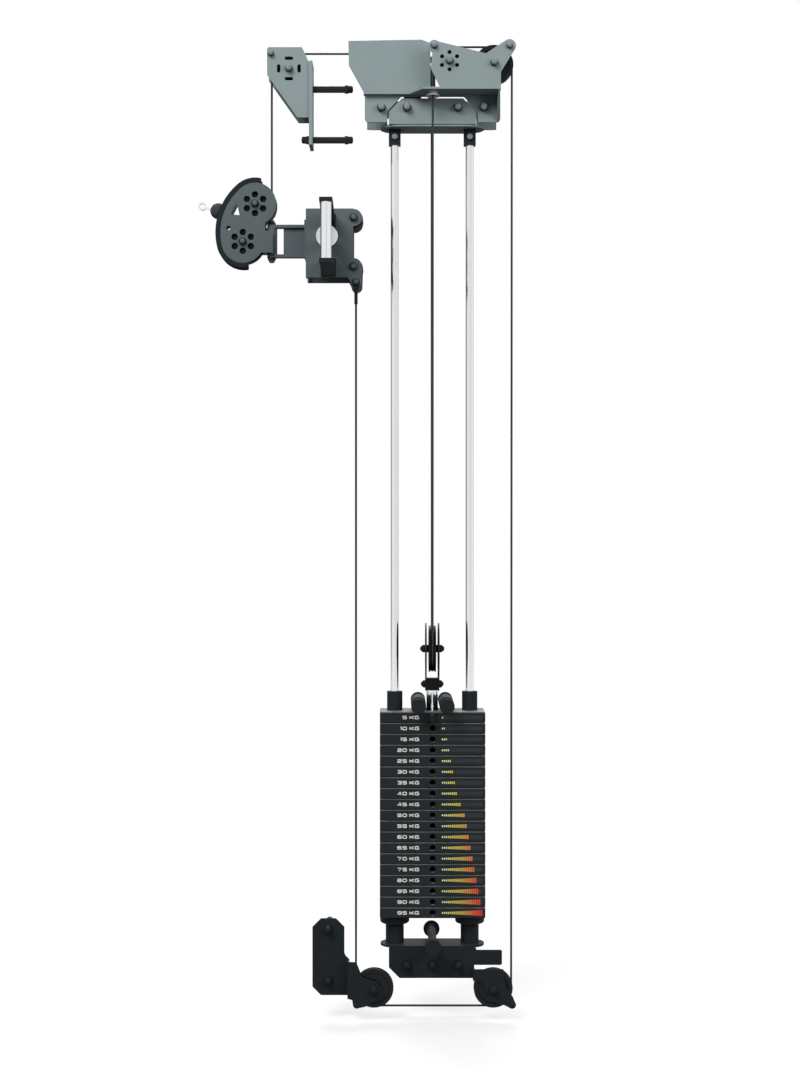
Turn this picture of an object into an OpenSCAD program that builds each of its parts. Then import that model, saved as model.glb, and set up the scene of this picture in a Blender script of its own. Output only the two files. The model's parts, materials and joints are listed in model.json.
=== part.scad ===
// Cable pulley attachment for a square tube frame.
// One weight stack on two guide rods, a cable led over fixed pulleys,
// and a trolley with a swivelling pulley head that slides on the front upright tube.
// Millimetres. X runs to the rear, Y away from the handle side, Z up.
// The origin is the middle bolt of the lower mounting tube.

/* [Mounting] */
// Outside width of the square tubes that the plates clamp
tube_w = 75; // [74:0.5:76]
// Gap between a clamping plate and its tube
seat_gap = 0.5; // [0.3:0.1:1]
// Height of the upper mounting tube's centre above the lower one's
rise = 2010; // [1990:5:2030]
// Distance from the guide rods' middle to the upright tube's middle
upright_x = 244.3; // [240:0.1:248]
// Diameter of the mounting bolts
bolt_d = 16; // [12:1:17]
// Pitch of the bolts along a mounting tube
bolt_pitch = 60; // [55:1:62]

/* [Sheet metal] */
// Thickness of the clamping plates, trays and base
plate_t = 5; // [4:0.5:6]
// Thickness of the ears, cheeks and trolley plates
sheet_t = 4; // [3:0.5:5]
// Radial play of a bolt in its hole
hole_play = 0.3; // [0.2:0.05:0.5]

/* [Guide rods and stack] */
// Diameter of the guide rods
rod_d = 19; // [16:0.5:20]
// Distance between the guide rods
rod_pitch = 177.5; // [170:0.5:182]
// Diameter of the end plates' round ends
end_plate_w = 81; // [76:1:84]
// Length of the end plates
end_plate_l = 245; // [235:1:255]
// Width of a weight plate
weight_l = 247; // [240:1:250]
// Depth of a weight plate
weight_w = 104; // [98:1:106]
// Thickness of a weight plate
weight_t = 25.4; // [24:0.2:26]
// Plates in the stack, with the head plate
weight_count = 19; // [12:1:19]
// Bevel round a weight plate's faces
weight_bevel = 2; // [1:0.5:3]
// Diameter of the selector pin's holes
pin_hole_d = 14; // [12:0.5:15]
// Radial play of the selector pin in its hole
pin_play = 0.3; // [0.2:0.05:0.5]
// Height of the posts under the stack
post_h = 47; // [40:1:55]
// Diameter of the posts
post_d = 43; // [38:1:46]
// Diameter of the rubber bumpers
bumper_d = 69; // [60:1:72]
// Thickness of the rubber bumpers
bumper_h = 20; // [15:1:25]

/* [Cable and pulleys] */
// Diameter of the cable
cable_d = 5; // [4:0.5:6]
// Play round the cable in a pulley's groove
groove_play = 0.3; // [0.2:0.05:0.5]
// Cable radius of the large guide pulleys
big_r = 42.3; // [40:0.1:43]
// Cable radius of the small guide pulleys
small_r = 38.2; // [36:0.1:39]
// Cable radius of the floating pulley
float_r = 52; // [50:0.5:54]
// How far a pulley's rim stands out past the cable's centre
rim_h = 3.2; // [2.8:0.1:4]
// Width of a pulley
pulley_w = 17; // [14:0.5:18]
// Diameter of the pulley axles
axle_d = 10; // [8:0.5:12]
// Radial play of a pulley on its axle
axle_play = 0.05; // [0.03:0.01:0.08]
// Side play between a pulley and its spacers
side_play = 0.4; // [0.3:0.1:0.6]
// Height of the top pulleys' axles above the upper mounting tube's centre
axle_rise = 95; // [90:1:100]
// Angle by which the cable turns round the upright-axis pulley
turn_angle = 28; // [26:0.5:30]

/* [Trolley] */
// Height of the trolley's lower edge
trolley_z = 1611; // [1500:1:1640]
// Height of the trolley's plates
trolley_h = 161; // [155:1:170]
// Gap between the upright tube and a trolley plate
trolley_gap = 10.5; // [9:0.5:12]
// Diameter of the trolley's rollers
roller_d = 43; // [40:1:44]
// Distance between the trolley's roller bolts
roller_pitch = 115; // [105:1:120]
// Distance from the swivel axis to the guide rods' middle
swivel_x = 380; // [375:0.5:385]
// Diameter of the hinge tube
hinge_d = 26; // [24:0.5:28]
// Diameter of the pop pin
pop_d = 22; // [18:1:24]
// Radial play of the pop pin in its barrel
pop_play = 0.3; // [0.2:0.05:0.5]
// Diameter of the handle bar
grip_d = 25; // [22:1:30]
// Length of the handle bar
grip_l = 129; // [115:1:140]

/* [Swivel head] */
// Inner gap between the head's side plates
head_gap = 37; // [35:0.5:37.4]
// Outer radius of the guard at both pulleys
head_end_r = 62; // [58:0.5:64]
// Width of the guard band
band_w = 12; // [9:0.5:14]
// Sideways thickness of the guard band
band_t = 5.5; // [4.5:0.5:7]
// Diameter of the ball stop
ball_d = 38; // [38:0.5:42]

/* [Hidden] */
$fn = 48;
grey = [0.51, 0.557, 0.553];
slate = [0.294, 0.33, 0.333];
black = [0.13, 0.145, 0.153];
dark = [0.18, 0.19, 0.2];
chrome = [0.8, 0.82, 0.84];
rubber = [0.09, 0.09, 0.1];

// Small play between pieces that move on each other
rest = 0.3;
// Slit between pieces of one group that lie on each other
slit = 0.1;

// Clamping plates on a tube
half_tube = tube_w / 2;
face_in = half_tube + seat_gap;
face_out = face_in + plate_t;
bolt_hole_r = bolt_d / 2 + hole_play;
mount_head_d = bolt_d + 4;
mount_head_h = 12;
upper_bolt_x = 2 * bolt_pitch;

// Base, guide rods and stack
rod_x = rod_pitch / 2;
base_top = face_out;
bumper_z = base_top + post_h;
stack_z = bumper_z + bumper_h;
head_plate_z = stack_z + (weight_count - 1) * weight_t + rest;
head_top = head_plate_z + weight_t - slit;
rod_top = rise - face_out;
rod_hole_r = rod_d / 2 + 0.5;
clamp_w = 28;
clamp_h = 37;
set_bolt_z = rod_top - 19;
collar_d = 36.5;
collar_h = 45;
stem_d = 24;
stem_collar_d = 27;
stem_hole_r = stem_d / 2 + 0.6;
stem_top = head_top + 47;
tongue_h = 30;
cross_bolt_z = stem_top + tongue_h / 2;
strap_t = 3;
strap_in = stem_collar_d / 2;
strap_out = strap_in + strap_t;
peg_d = 35;
peg_x = 33;
base_peg_d = 39;
base_peg_z = base_top + 10;

// Upper trays
tray_top = rise + 34;
tray_z = tray_top - plate_t;
tray_y = 107;
skirt_z = rise - 34;
skirt_x = 159;
mount_half = 102.5;
mount_top_half = 72;
mount_shoulder = rise - 10;
mount_top = rise + 22;
notch_gap = 4;
// Step from a mounting plate out to the plate that covers the pulleys
cheek_step = 13.5;
guide_bore_r = 9;
gusset_t = 4;

// Pulley places
axle_head_d = axle_d + 8;
axle_head_h = 9;
keeper_d = 8;
keeper_head_d = 14.8;
spacer_d = axle_d + 8;
float_rim = float_r + rim_h;
top_axle_z = rise + axle_rise;
cable_top_z = top_axle_z + big_r;
top_front_x = big_r - swivel_x;
turn_x = -148;
turn_w = pulley_w + 5;
yaw = turn_angle;
yaw_dir = [cos(yaw), sin(yaw), 0];
turn_exit = [turn_x + big_r * sin(yaw), big_r - big_r * cos(yaw), cable_top_z];
inner_run = (-big_r * cos(yaw) - turn_exit[0]) / cos(yaw);
inner_at = turn_exit + inner_run * yaw_dir - [0, 0, big_r];
rear_fall_y = inner_at[1] + big_r * sin(yaw);
outer_y = -80;
outer_z = top_axle_z - 1;
outer_at = [small_r, outer_y, outer_z];
outer_cable_z = outer_z + small_r;
rear_x = 141.5;
rear_top_at = [rear_x, outer_y, outer_cable_z - big_r];
lower_y = -52;
lower_z = -51.5;
rear_bottom_at = [rear_x, lower_y, lower_z];
clevis_x = -179.3;
front_bottom_at = [clevis_x + big_r, lower_y, lower_z];
float_z = head_top + 145.6;
outer_plate_y = outer_y - pulley_w / 2 - cheek_step;
inner_plate_back = pulley_w / 2 + 8;
inner_keeper = [31, big_r];
keeper_z = rise + 129;
outer_keepers = [[3, keeper_z], [177, keeper_z]];
cheek_in = 28;
top_keeper = [top_front_x - 42.5, top_axle_z + 35.2];
flange_t = 8;
flange_x = -upright_x - half_tube - seat_gap;
top_bolt_z = rise + 53;
ear_y = -70;
rear_keeper = [43.7, -36.7];
front_keeper = [-40.1, -36.4];
front_bolt_z = 84;

// Trolley places
plate_in = half_tube + trolley_gap;
plate_out = plate_in + sheet_t;
trolley_front = -297;
trolley_back = -186;
trolley_top = trolley_z + trolley_h;
roller_x = -upright_x + half_tube + roller_d / 2 + rest;
roller_z = trolley_z + 25;
roller_w = 60;
flange_in = plate_out - 24;
clevis_z = trolley_z - 11;
clevis_cheek = 3;
clevis_foot = 52;
arm_t = 7;
lower_arm_z = trolley_z + 53;
upper_arm_z = lower_arm_z + 70;
arm_half_w = 11;
arm_back_t = 4;
hinge_pin_d = axle_d + 2;
pop_z = trolley_z + 84;
pop_tip_y = -15;
pop_knob_y = -136;
grip_y = -187;
grip_z = trolley_z + 23;
bracket_t = 4;

// Swivel head places
head_in = head_gap / 2;
head_out = head_in + sheet_t;
upper_hub = [-swivel_x - small_r, trolley_z + 177.6];
hub_step = [-28.8, -89];
lower_hub = upper_hub + hub_step;
bulge = 74.6;
tab_low = 62.6;
tab_top = 114;
hub_dir = -hub_step / norm(hub_step);
bow = (upper_hub + lower_hub) / 2 + bulge * [hub_dir[1], -hub_dir[0]];
bow_to_hub = norm(upper_hub - bow);
bow_r = bow_to_hub + head_end_r;
exit_rise = 16.3;
exit_dir = [-cos(exit_rise), 0, sin(exit_rise)];
exit_at = [upper_hub[0] - small_r * sin(exit_rise), 0, upper_hub[1] - small_r * cos(exit_rise)];
ball_stand = bow_r + sqrt(pow(ball_d / 2, 2) - pow(head_in, 2)) + rest;
exit_from_bow = exit_at - [bow[0], 0, bow[1]];
exit_along = exit_dir * exit_from_bow;
ball_run = sqrt(pow(exit_along, 2) - exit_from_bow * exit_from_bow + pow(ball_stand, 2)) - exit_along;
ball_at = exit_at + ball_run * exit_dir;
eye_run = ball_d / 2 + 20;

// Extrudes an outline drawn in X and Z, from y towards the inner side
module plate_xz(y, t) {
  translate([0, y + t, 0]) rotate([90, 0, 0]) linear_extrude(t) children();
}

// Extrudes an outline drawn in X and Y, upwards from z
module plate_xy(z, t) {
  translate([0, 0, z]) linear_extrude(t) children();
}

// Extrudes an outline drawn in Y and Z, rearwards from x
module plate_yz(x, t) {
  translate([x, 0, 0]) rotate([90, 0, 90]) linear_extrude(t) children();
}

// A box between two opposite corners
module block(p, q) {
  translate(p) cube(q - p);
}

// A round place in an outline
module dot(p, r) {
  translate(p) circle(r = r);
}

// A rectangle with four round corners
module round_rect(p, q, r) {
  translate(p + [r, 0]) square([q[0] - p[0] - 2 * r, q[1] - p[1]]);
  translate(p + [0, r]) square([q[0] - p[0], q[1] - p[1] - 2 * r]);
  for (x = [p[0] + r, q[0] - r], z = [p[1] + r, q[1] - r]) dot([x, z], r);
}

// A bar with round ends, drawn about its middle
module stadium(l, w) {
  square([l - w, w], center = true);
  for (s = [-1, 1]) dot([s * (l - w) / 2, 0], w / 2);
}

// Turns the upward direction towards the inner side
module inward(p) {
  translate(p) rotate([-90, 0, 0]) children();
}

// Turns the upward direction towards the handle side
module outward(p) {
  translate(p) rotate([90, 0, 0]) children();
}

// A bolt and its nut that clamp a length l from z = 0
module bolt(d, l, head_d, head_h) {
  translate([0, 0, -1]) cylinder(d = d, h = l + 2);
  for (end = [[0, 180], [l, 0]]) translate([0, 0, end[0]]) rotate([end[1], 0, 0]) {
    cylinder(d = head_d, h = head_h * 0.6);
    translate([0, 0, head_h * 0.6]) cylinder(d1 = head_d, d2 = head_d * 0.72, h = head_h * 0.4);
  }
}

// A bolt that mounts the object, its shank relieved where it passes plates of thickness a and b
module mounting_bolt(l, a, b) {
  relief = 0.2;
  bolt(bolt_d - 2 * relief, l, mount_head_d, mount_head_h);
  translate([0, 0, a + rest]) cylinder(d = bolt_d, h = l - a - b - 2 * rest);
}

// A sleeve from z = a to z = b that joins the shank it is on
module sleeve(a, b) {
  if (b - a > 0.2) translate([0, 0, a]) cylinder(d = spacer_d, h = b - a);
}

// A pulley's bolt: plates from -front to -inside and from inside to back, pulley at z = 0
module axle(front, back, front_t, back_t, w = pulley_w) {
  hub = w / 2 + side_play;
  translate([0, 0, -front]) bolt(axle_d, front + back, axle_head_d, axle_head_h);
  sleeve(-(front - front_t), -hub);
  sleeve(hub, back - back_t);
}

// A grooved pulley with a recessed web on each side, its axle along z
module pulley(r, w = pulley_w) {
  rim = r + rim_h;
  groove = cable_d / 2 + groove_play;
  flare = pulley_w / 2 - 1.5;
  web_in = axle_d / 2 + 9;
  web_out = r - groove - 3;
  web_cut = 3;
  rotate_extrude($fn = 96) difference() {
    translate([axle_d / 2 + axle_play, -w / 2]) square([rim - axle_d / 2 - axle_play, w]);
    dot([r, 0], groove);
    polygon([[r, -groove], [rim + 1, -flare], [rim + 1, flare], [r, groove]]);
    for (s = [-1, 1]) polygon([
      [web_in, s * (w / 2 + 1)], [web_in + 2, s * (w / 2 - web_cut)],
      [web_out - 2, s * (w / 2 - web_cut)], [web_out, s * (w / 2 + 1)]
    ]);
  }
}

// A pulley whose axle lies across the tubes
module cross_pulley(p, r) {
  inward(p) pulley(r);
}

// A stretch of cable between two points
module run(p, q) {
  v = q - p;
  translate(p) rotate([0, acos(v[2] / norm(v)), atan2(v[1], v[0])])
    cylinder(d = cable_d, h = norm(v), $fn = 24);
}

// A stretch of cable that stops a slit short of the bends that it joins
module fall(p, q) {
  u = (q - p) / norm(q - p);
  run(p + slit * u, q - slit * u);
}

// A bend of cable round an upward axis, from angle a to angle b
module bend(r, a, b) {
  rotate([0, 0, a]) rotate_extrude(angle = b - a, $fn = 96) translate([r, 0]) circle(d = cable_d, $fn = 24);
}

// A bend of cable in the plane of X and Z
module cross_bend(p, r, a, b) {
  outward(p) bend(r, a, b);
}

// Half the angle that the floating pulley's wrap reaches past its middle on one side
function wrap_end(y, z) = atan2(z - float_z, y) - acos(float_r / norm([y, z - float_z]));
rear_wrap = wrap_end(rear_fall_y, inner_at[2]);
front_wrap = wrap_end(-outer_y, outer_z);

// Upper brackets

// Outline of the rod mount's side plates, grown by g
module mount_outline(g) {
  k = g * tan(22.5);
  polygon([
    [-mount_half - g, rod_top + plate_t], [mount_half + g, rod_top + plate_t],
    [mount_half + g, mount_shoulder + k], [mount_top_half + k, mount_top + g],
    [-mount_top_half - k, mount_top + g], [-mount_half - g, mount_shoulder + k]
  ]);
}

// The skirt that hangs from a tray, between x0 and x1
module skirt_outline(x0, x1) {
  corner_r = 9;
  difference() {
    union() {
      round_rect([x0, skirt_z], [x1, tray_z - 10], corner_r);
      translate([x0, rise]) square([x1 - x0, tray_top - rise]);
    }
    mount_outline(notch_gap);
    for (s = [-1, 1]) dot([s * upper_bolt_x, rise], bolt_hole_r);
  }
}

// A three-cornered stay under a tray
module gusset(x, side) {
  plate_yz(x, gusset_t) polygon([
    [side * face_out, skirt_z], [side * face_out, tray_z], [side * tray_y, tray_z]
  ]);
}

module upper_outer_plate() {
  color(grey) plate_xz(-face_out - cheek_step, plate_t) polygon([
    [-161.5, tray_top], [-5, tray_top], [-5, rise + 148], [-26, rise + 156],
    [-197, rise + 153], [-196, rise + 96.5]
  ]);
}

module upper_outer_skirt() {
  color(grey) {
    plate_xz(-face_out, plate_t) skirt_outline(-skirt_x, skirt_x);
    plate_xy(tray_z, plate_t) difference() {
      polygon([
        [-161.5, -face_in], [-161.5, -face_out - cheek_step], [-53, -face_out - cheek_step],
        [-25, -tray_y], [157, -tray_y], [157, -face_in]
      ]);
      dot([0, outer_y], guide_bore_r);
    }
    gusset(151, -1);
  }
}

module upper_inner_skirt() {
  color(grey) {
    plate_xz(face_in, plate_t) skirt_outline(-155, 154);
    plate_xy(tray_z, plate_t) difference() {
      translate([-155, face_in]) square([309, tray_y - face_in]);
      dot([0, rear_fall_y], guide_bore_r);
    }
    gusset(-155, 1);
    gusset(150, 1);
  }
}

module outer_pulley_plate() {
  color(grey) plate_xz(outer_plate_y - plate_t, plate_t) difference() {
    union() {
      polygon([
        [2, tray_top + 107], [-5.5, tray_top + 43.5], [16, tray_top], [157, tray_top],
        [157, tray_top + 34.5], [190, tray_top + 88], [168, tray_top + 107], [122.5, tray_top + 77]
      ]);
      dot(outer_keepers[0], 13);
      dot(outer_keepers[1], 14.8);
    }
    for (a = [30 : 60 : 330]) dot([outer_at[0] + 20 * cos(a), outer_z + 20 * sin(a)], 4.8);
    dot([outer_at[0], outer_z], axle_d / 2 + hole_play);
    dot([rear_x, rear_top_at[2]], axle_d / 2 + hole_play);
    for (p = outer_keepers) dot(p, keeper_d / 2 + hole_play);
  }
}

// Puts what follows in the inner pulley's own plane, its axle along z
module at_inner_pulley() {
  translate(inner_at) rotate([0, 0, yaw]) rotate([90, 0, 0]) children();
}

module inner_pulley_bracket() {
  foot = tray_top - inner_at[2];
  color(dark) at_inner_pulley() translate([0, 0, -inner_plate_back]) linear_extrude(plate_t) difference() {
    union() {
      translate([-25, foot]) square([84, 60 - foot - 30]);
      round_rect([-25, foot + 20], [46, big_r], 12);
      dot(inner_keeper, 10);
    }
    translate([20, foot]) square([22, 18]);
    dot([31, foot + 18], 11);
    for (a = [18 : 72 : 306]) dot([12.5 * cos(a), 12.5 * sin(a)], 3.5);
    dot([0, 0], axle_d / 2 + hole_play);
    dot(inner_keeper, keeper_d / 2 + hole_play);
  }
}

module cable_guides() {
  color([0.72, 0.74, 0.74]) for (y = [outer_y, rear_fall_y]) translate([0, y, tray_z])
    rotate_extrude() polygon([
      [guide_bore_r, 0], [guide_bore_r + 3, 0], [guide_bore_r + 3, -5],
      [guide_bore_r + 8.5, -11], [guide_bore_r + 5.5, -11], [guide_bore_r, -5]
    ]);
}

module rod_mount_side_plates() {
  color(grey) for (y = [-face_out, face_in]) plate_xz(y, plate_t) difference() {
    mount_outline(0);
    for (s = [-1, 1]) dot([s * bolt_pitch, rise], bolt_hole_r);
  }
}

module upper_rod_plate() {
  color(grey) plate_xy(rod_top, plate_t) stadium(end_plate_l, end_plate_w);
}

module rod_clamps() {
  color(black) for (s = [-1, 1]) translate([s * rod_x, 0, 0]) {
    difference() {
      translate([0, 0, rod_top - clamp_h]) linear_extrude(clamp_h)
        round_rect([-clamp_w / 2, -clamp_w / 2], [clamp_w / 2, clamp_w / 2], 2);
      translate([0, 0, rod_top - clamp_h - 1]) cylinder(d = rod_d + 0.2, h = clamp_h + 2);
      outward([0, 0, set_bolt_z]) cylinder(d = keeper_d + 2 * slit, h = clamp_w);
    }
    outward([0, -rod_d / 2 - slit, set_bolt_z]) cylinder(d = keeper_d, h = clamp_w / 2 - rod_d / 2 + 1);
    outward([0, -clamp_w / 2 - slit, set_bolt_z]) cylinder(d1 = 13, d2 = 11, h = 5);
  }
}

module guide_rods() {
  color(chrome) for (s = [-1, 1])
    translate([s * rod_x, 0, base_top]) cylinder(d = rod_d, h = rod_top - base_top);
}

// Base

module base_plate() {
  color(black) plate_xy(face_in, plate_t) stadium(end_plate_l, end_plate_w);
}

module base_side_plates() {
  side = mount_half;
  low = -32;
  bevel = 25;
  color(black) {
    plate_xz(-face_out, plate_t) difference() {
      union() {
        polygon([
          [-side, face_in], [side, face_in], [side, -1.3], [98, -1.3],
          [98, low], [-side + bevel, low], [-side, low + bevel]
        ]);
        round_rect([90, -1.3], [163, 33.5], 4);
      }
      for (i = [-1 : 1]) dot([i * bolt_pitch, 0], bolt_hole_r);
    }
    plate_xz(face_in, plate_t) difference() {
      polygon([
        [-side, face_in], [side, face_in], [side, low + bevel],
        [side - bevel, low], [-side + bevel, low], [-side, low + bevel]
      ]);
      for (i = [-1 : 1]) dot([i * bolt_pitch, 0], bolt_hole_r);
    }
  }
}

module lower_pulley_ears() {
  keeper_r = 9;
  color(black) {
    // rear ear and the step that carries it
    plate_xz(ear_y, sheet_t) translate([rear_x, lower_z]) difference() {
      union() {
        polygon([
          [-47.5, 46], [23.5, 46], [23.9, 35.5], [28.5, 5.5], [45.5, -18.5], rear_keeper + [keeper_r, 0],
          rear_keeper, rear_keeper - [4, 8], [28.5, -38.8], [-7.5, -25.5], [-20, 8.5],
          [-25.5, 19.5], [-47.5, 19.5]
        ]);
        dot(rear_keeper, keeper_r);
      }
      dot([0, 0], axle_d / 2 + hole_play);
      dot(rear_keeper, keeper_d / 2 + hole_play);
    }
    block([rear_x - 47.5, ear_y + sheet_t, lower_z + 19.5], [rear_x - 43.5, -face_out, lower_z + 46]);
    // front ear and its step
    plate_xz(ear_y, sheet_t) translate([front_bottom_at[0], lower_z]) difference() {
      union() {
        polygon([
          [-62, 63.2], [-42, 62.3], [-37, 52.8], [-31, 36.7], [-29, 28.7], [-14, 20.8],
          [4, 17.1], [16, 4.7], [20.6, -7.9], [14.3, -20.3], [-19.5, -40.8], front_keeper + [4, -8],
          front_keeper, front_keeper - [keeper_r, 0], [-50.8, -25.7], [-62, -22.2]
        ]);
        dot(front_keeper, keeper_r);
      }
      dot([0, 0], axle_d / 2 + hole_play);
      dot(front_keeper, keeper_d / 2 + hole_play);
    }
    block(
      [front_bottom_at[0] - 62, ear_y + sheet_t, lower_z - 22.2],
      [front_bottom_at[0] - 58, -face_out, lower_z + 63.2]
    );
  }
}

module base_posts() {
  color(black) for (s = [-1, 1]) translate([s * rod_x, 0, base_top]) difference() {
    cylinder(d = post_d, h = post_h);
    translate([0, 0, -1]) cylinder(d = rod_d + 0.2, h = post_h + 2);
  }
}

module rubber_bumpers() {
  edge = 6;
  color(rubber) for (s = [-1, 1]) translate([s * rod_x, 0, bumper_z]) rotate_extrude() {
    bore = rod_d / 2 + 0.2;
    translate([bore, 0]) square([bumper_d / 2 - edge - bore, bumper_h]);
    translate([bore, edge]) square([bumper_d / 2 - bore, bumper_h - 2 * edge]);
    for (z = [edge, bumper_h - edge]) dot([bumper_d / 2 - edge, z], edge);
  }
}

// A band peg along z: two knobs on a stepped bar between z = a and z = b
module peg(a, b, knob_d, neck_d, seat_l) {
  knob_t = 12;
  translate([0, 0, a]) cylinder(d = neck_d, h = b - a);
  for (end = [[a, 0], [b, 180]]) translate([0, 0, end[0]]) rotate([end[1], 0, 0]) {
    cylinder(d1 = knob_d - 3, d2 = knob_d, h = 2);
    translate([0, 0, 2]) cylinder(d = knob_d, h = knob_t - 2);
    translate([0, 0, knob_t]) cylinder(d1 = knob_d * 0.8, d2 = neck_d, h = 9);
  }
  if (seat_l > 0) translate([0, 0, (a + b - seat_l) / 2]) cylinder(d = knob_d, h = seat_l);
}

module base_peg() {
  color(black) inward([0, 0, base_peg_z]) peg(-108, 108, base_peg_d, 2 * (base_peg_z - base_top), 0);
}

module front_bottom_plate() {
  edge = half_tube;
  bevel = 20;
  color(black) translate([-upright_x, 0, 0]) plate_xz(-face_out, plate_t) difference() {
    polygon([
      [-edge, -72 + bevel], [-edge + bevel, -72], [edge + 12, -72], [edge + 12, 11],
      [edge + 3, 20], [edge, 27], [edge, 107.6 - bevel], [edge - bevel, 107.6],
      [-edge + bevel, 107.6], [-edge, 107.6 - bevel]
    ]);
    for (i = [0, 1]) dot([0, front_bolt_z - 2 * bolt_pitch * i], bolt_hole_r);
  }
}

module top_front_bracket() {
  slot_r = 24;
  color(grey) {
    for (y = [-cheek_in - sheet_t, cheek_in]) plate_xz(y, sheet_t) difference() {
      translate([top_front_x, top_axle_z]) polygon([
        [-51.3, 46], [-47.3, 50], [30.7, 50], [flange_x - flange_t - top_front_x, 14],
        [flange_x - flange_t - top_front_x, -115], [19.7, -115], [-51.3, -15]
      ]);
      translate([top_front_x, top_axle_z]) for (a = [0 : 90 : 270])
        rotate(a) translate([slot_r, 0]) rotate(90) stadium(20, 8);
      dot([top_front_x, top_axle_z], axle_d / 2 + hole_play);
      dot(top_keeper, keeper_d / 2 + hole_play);
    }
    plate_yz(flange_x - flange_t, flange_t) difference() {
      round_rect([-half_tube, top_axle_z - 181], [half_tube, top_axle_z + 18], 3);
      for (i = [0, 1]) dot([0, top_bolt_z - 2 * bolt_pitch * i], bolt_hole_r);
    }
  }
}

module mounting_bolts() {
  span = 2 * face_out;
  color(dark) {
    // through the lower tube and the lower plates
    for (i = [-1 : 1]) inward([i * bolt_pitch, -face_out, 0]) mounting_bolt(span, plate_t, plate_t);
    // through the upper tube, for the rod mount and for the pulley brackets
    for (x = [-upper_bolt_x, -bolt_pitch, bolt_pitch, upper_bolt_x])
      inward([x, -face_out, rise]) mounting_bolt(span, plate_t, plate_t);
    // through the upright tube at the bottom
    for (i = [0, 1]) inward([-upright_x, -face_out, front_bolt_z - 2 * bolt_pitch * i])
      mounting_bolt(face_out + half_tube, plate_t, 0);
    // through the upright tube at the top
    for (i = [0, 1]) translate([flange_x - flange_t, 0, top_bolt_z - 2 * bolt_pitch * i]) rotate([0, 90, 0])
      mounting_bolt(flange_t + tube_w + seat_gap, flange_t, 0);
  }
}

module pulley_axles() {
  free_back = pulley_w / 2 + side_play + 2;
  keeper_l = pulley_w / 2 + 1;
  outer_front = outer_y - outer_plate_y + plate_t;
  ear_front = lower_y - ear_y;
  post_base = tray_top - cable_top_z;
  turn_hub = turn_w / 2 + side_play;
  color(dark) {
    inward([top_front_x, 0, top_axle_z]) axle(cheek_in + sheet_t, cheek_in + sheet_t, sheet_t, sheet_t);
    inward([top_keeper[0], -cheek_in - sheet_t, top_keeper[1]])
      bolt(keeper_d, 2 * (cheek_in + sheet_t), keeper_head_d, 7);
    // upright post of the turning pulley
    translate([turn_x, big_r, cable_top_z]) {
      translate([0, 0, post_base]) cylinder(d = axle_d, h = turn_hub + 4 - post_base);
      translate([0, 0, -turn_hub - 8]) cylinder(d1 = axle_d, d2 = spacer_d, h = 8);
      translate([0, 0, turn_hub]) cylinder(d = axle_head_d, h = 6);
    }
    at_inner_pulley() {
      axle(inner_plate_back, free_back, plate_t, 0);
      translate([inner_keeper[0], inner_keeper[1], -inner_plate_back])
        bolt(keeper_d, inner_plate_back + keeper_l, keeper_head_d, 6);
    }
    for (p = [outer_at, rear_top_at]) inward(p) axle(outer_front, free_back, plate_t, 0);
    for (p = outer_keepers) inward([p[0], outer_plate_y - plate_t, p[1]])
      bolt(keeper_d, outer_front + keeper_l, keeper_head_d, 6);
    for (p = [rear_bottom_at, front_bottom_at]) inward(p) axle(ear_front, free_back, sheet_t, 0);
    for (pair = [[rear_bottom_at, rear_keeper], [front_bottom_at, front_keeper]])
      inward([pair[0][0] + pair[1][0], ear_y, pair[0][2] + pair[1][1]])
        bolt(keeper_d, ear_front + keeper_l, keeper_d + 3, 4);
  }
}

// Weight stack

// A rectangle with bevelled corners, standing on the first axis
module bevelled(l, h) {
  b = weight_bevel;
  polygon([
    [-l / 2 + b, 0], [l / 2 - b, 0], [l / 2, b], [l / 2, h - b],
    [l / 2 - b, h], [-l / 2 + b, h], [-l / 2, h - b], [-l / 2, b]
  ]);
}

module weight(z) {
  over = 1;
  h = weight_t - slit;
  translate([0, 0, z]) difference() {
    intersection() {
      plate_yz(-weight_l / 2, weight_l) bevelled(weight_w, h);
      plate_xz(-weight_w / 2, weight_w) bevelled(weight_l, h);
    }
    for (s = [-1, 1]) translate([s * rod_x, 0, -over]) cylinder(r = rod_hole_r, h = weight_t + 2 * over);
    translate([0, 0, -over]) cylinder(r = stem_hole_r, h = weight_t + 2 * over);
    inward([0, -weight_w / 2 - over, weight_t / 2]) cylinder(d = pin_hole_d, h = weight_w + 2 * over);
  }
}

module weight_plates() {
  color(black) for (i = [0 : weight_count - 2]) weight(stack_z + i * weight_t);
}

module head_plate() {
  color(black) weight(head_plate_z);
}

module guide_collars() {
  color(black) for (s = [-1, 1]) translate([s * rod_x, 0, head_top]) difference() {
    cylinder(d = collar_d, h = collar_h);
    translate([0, 0, -1]) cylinder(r = rod_hole_r, h = collar_h + 2);
  }
}

module selector_stem() {
  foot_h = 8;
  stem_end = stack_z + 1;
  color(chrome) difference() {
    union() {
      translate([0, 0, stem_end]) cylinder(d = stem_d, h = head_top - stem_end + 1);
      translate([0, 0, head_top]) cylinder(d = stem_collar_d, h = stem_top - head_top);
      translate([0, 0, head_top]) cylinder(d1 = 30, d2 = stem_collar_d, h = foot_h);
      block([-strap_in + rest, -11, stem_top - 1], [strap_in - rest, 11, stem_top + tongue_h]);
    }
    for (i = [0 : weight_count - 1]) inward([0, -stem_d, head_plate_z + weight_t / 2 - i * weight_t])
      cylinder(d = pin_hole_d, h = 2 * stem_d);
    translate([-stem_d, 0, cross_bolt_z]) rotate([0, 90, 0])
      cylinder(r = axle_d / 2 + hole_play, h = 2 * stem_d);
  }
}

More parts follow.
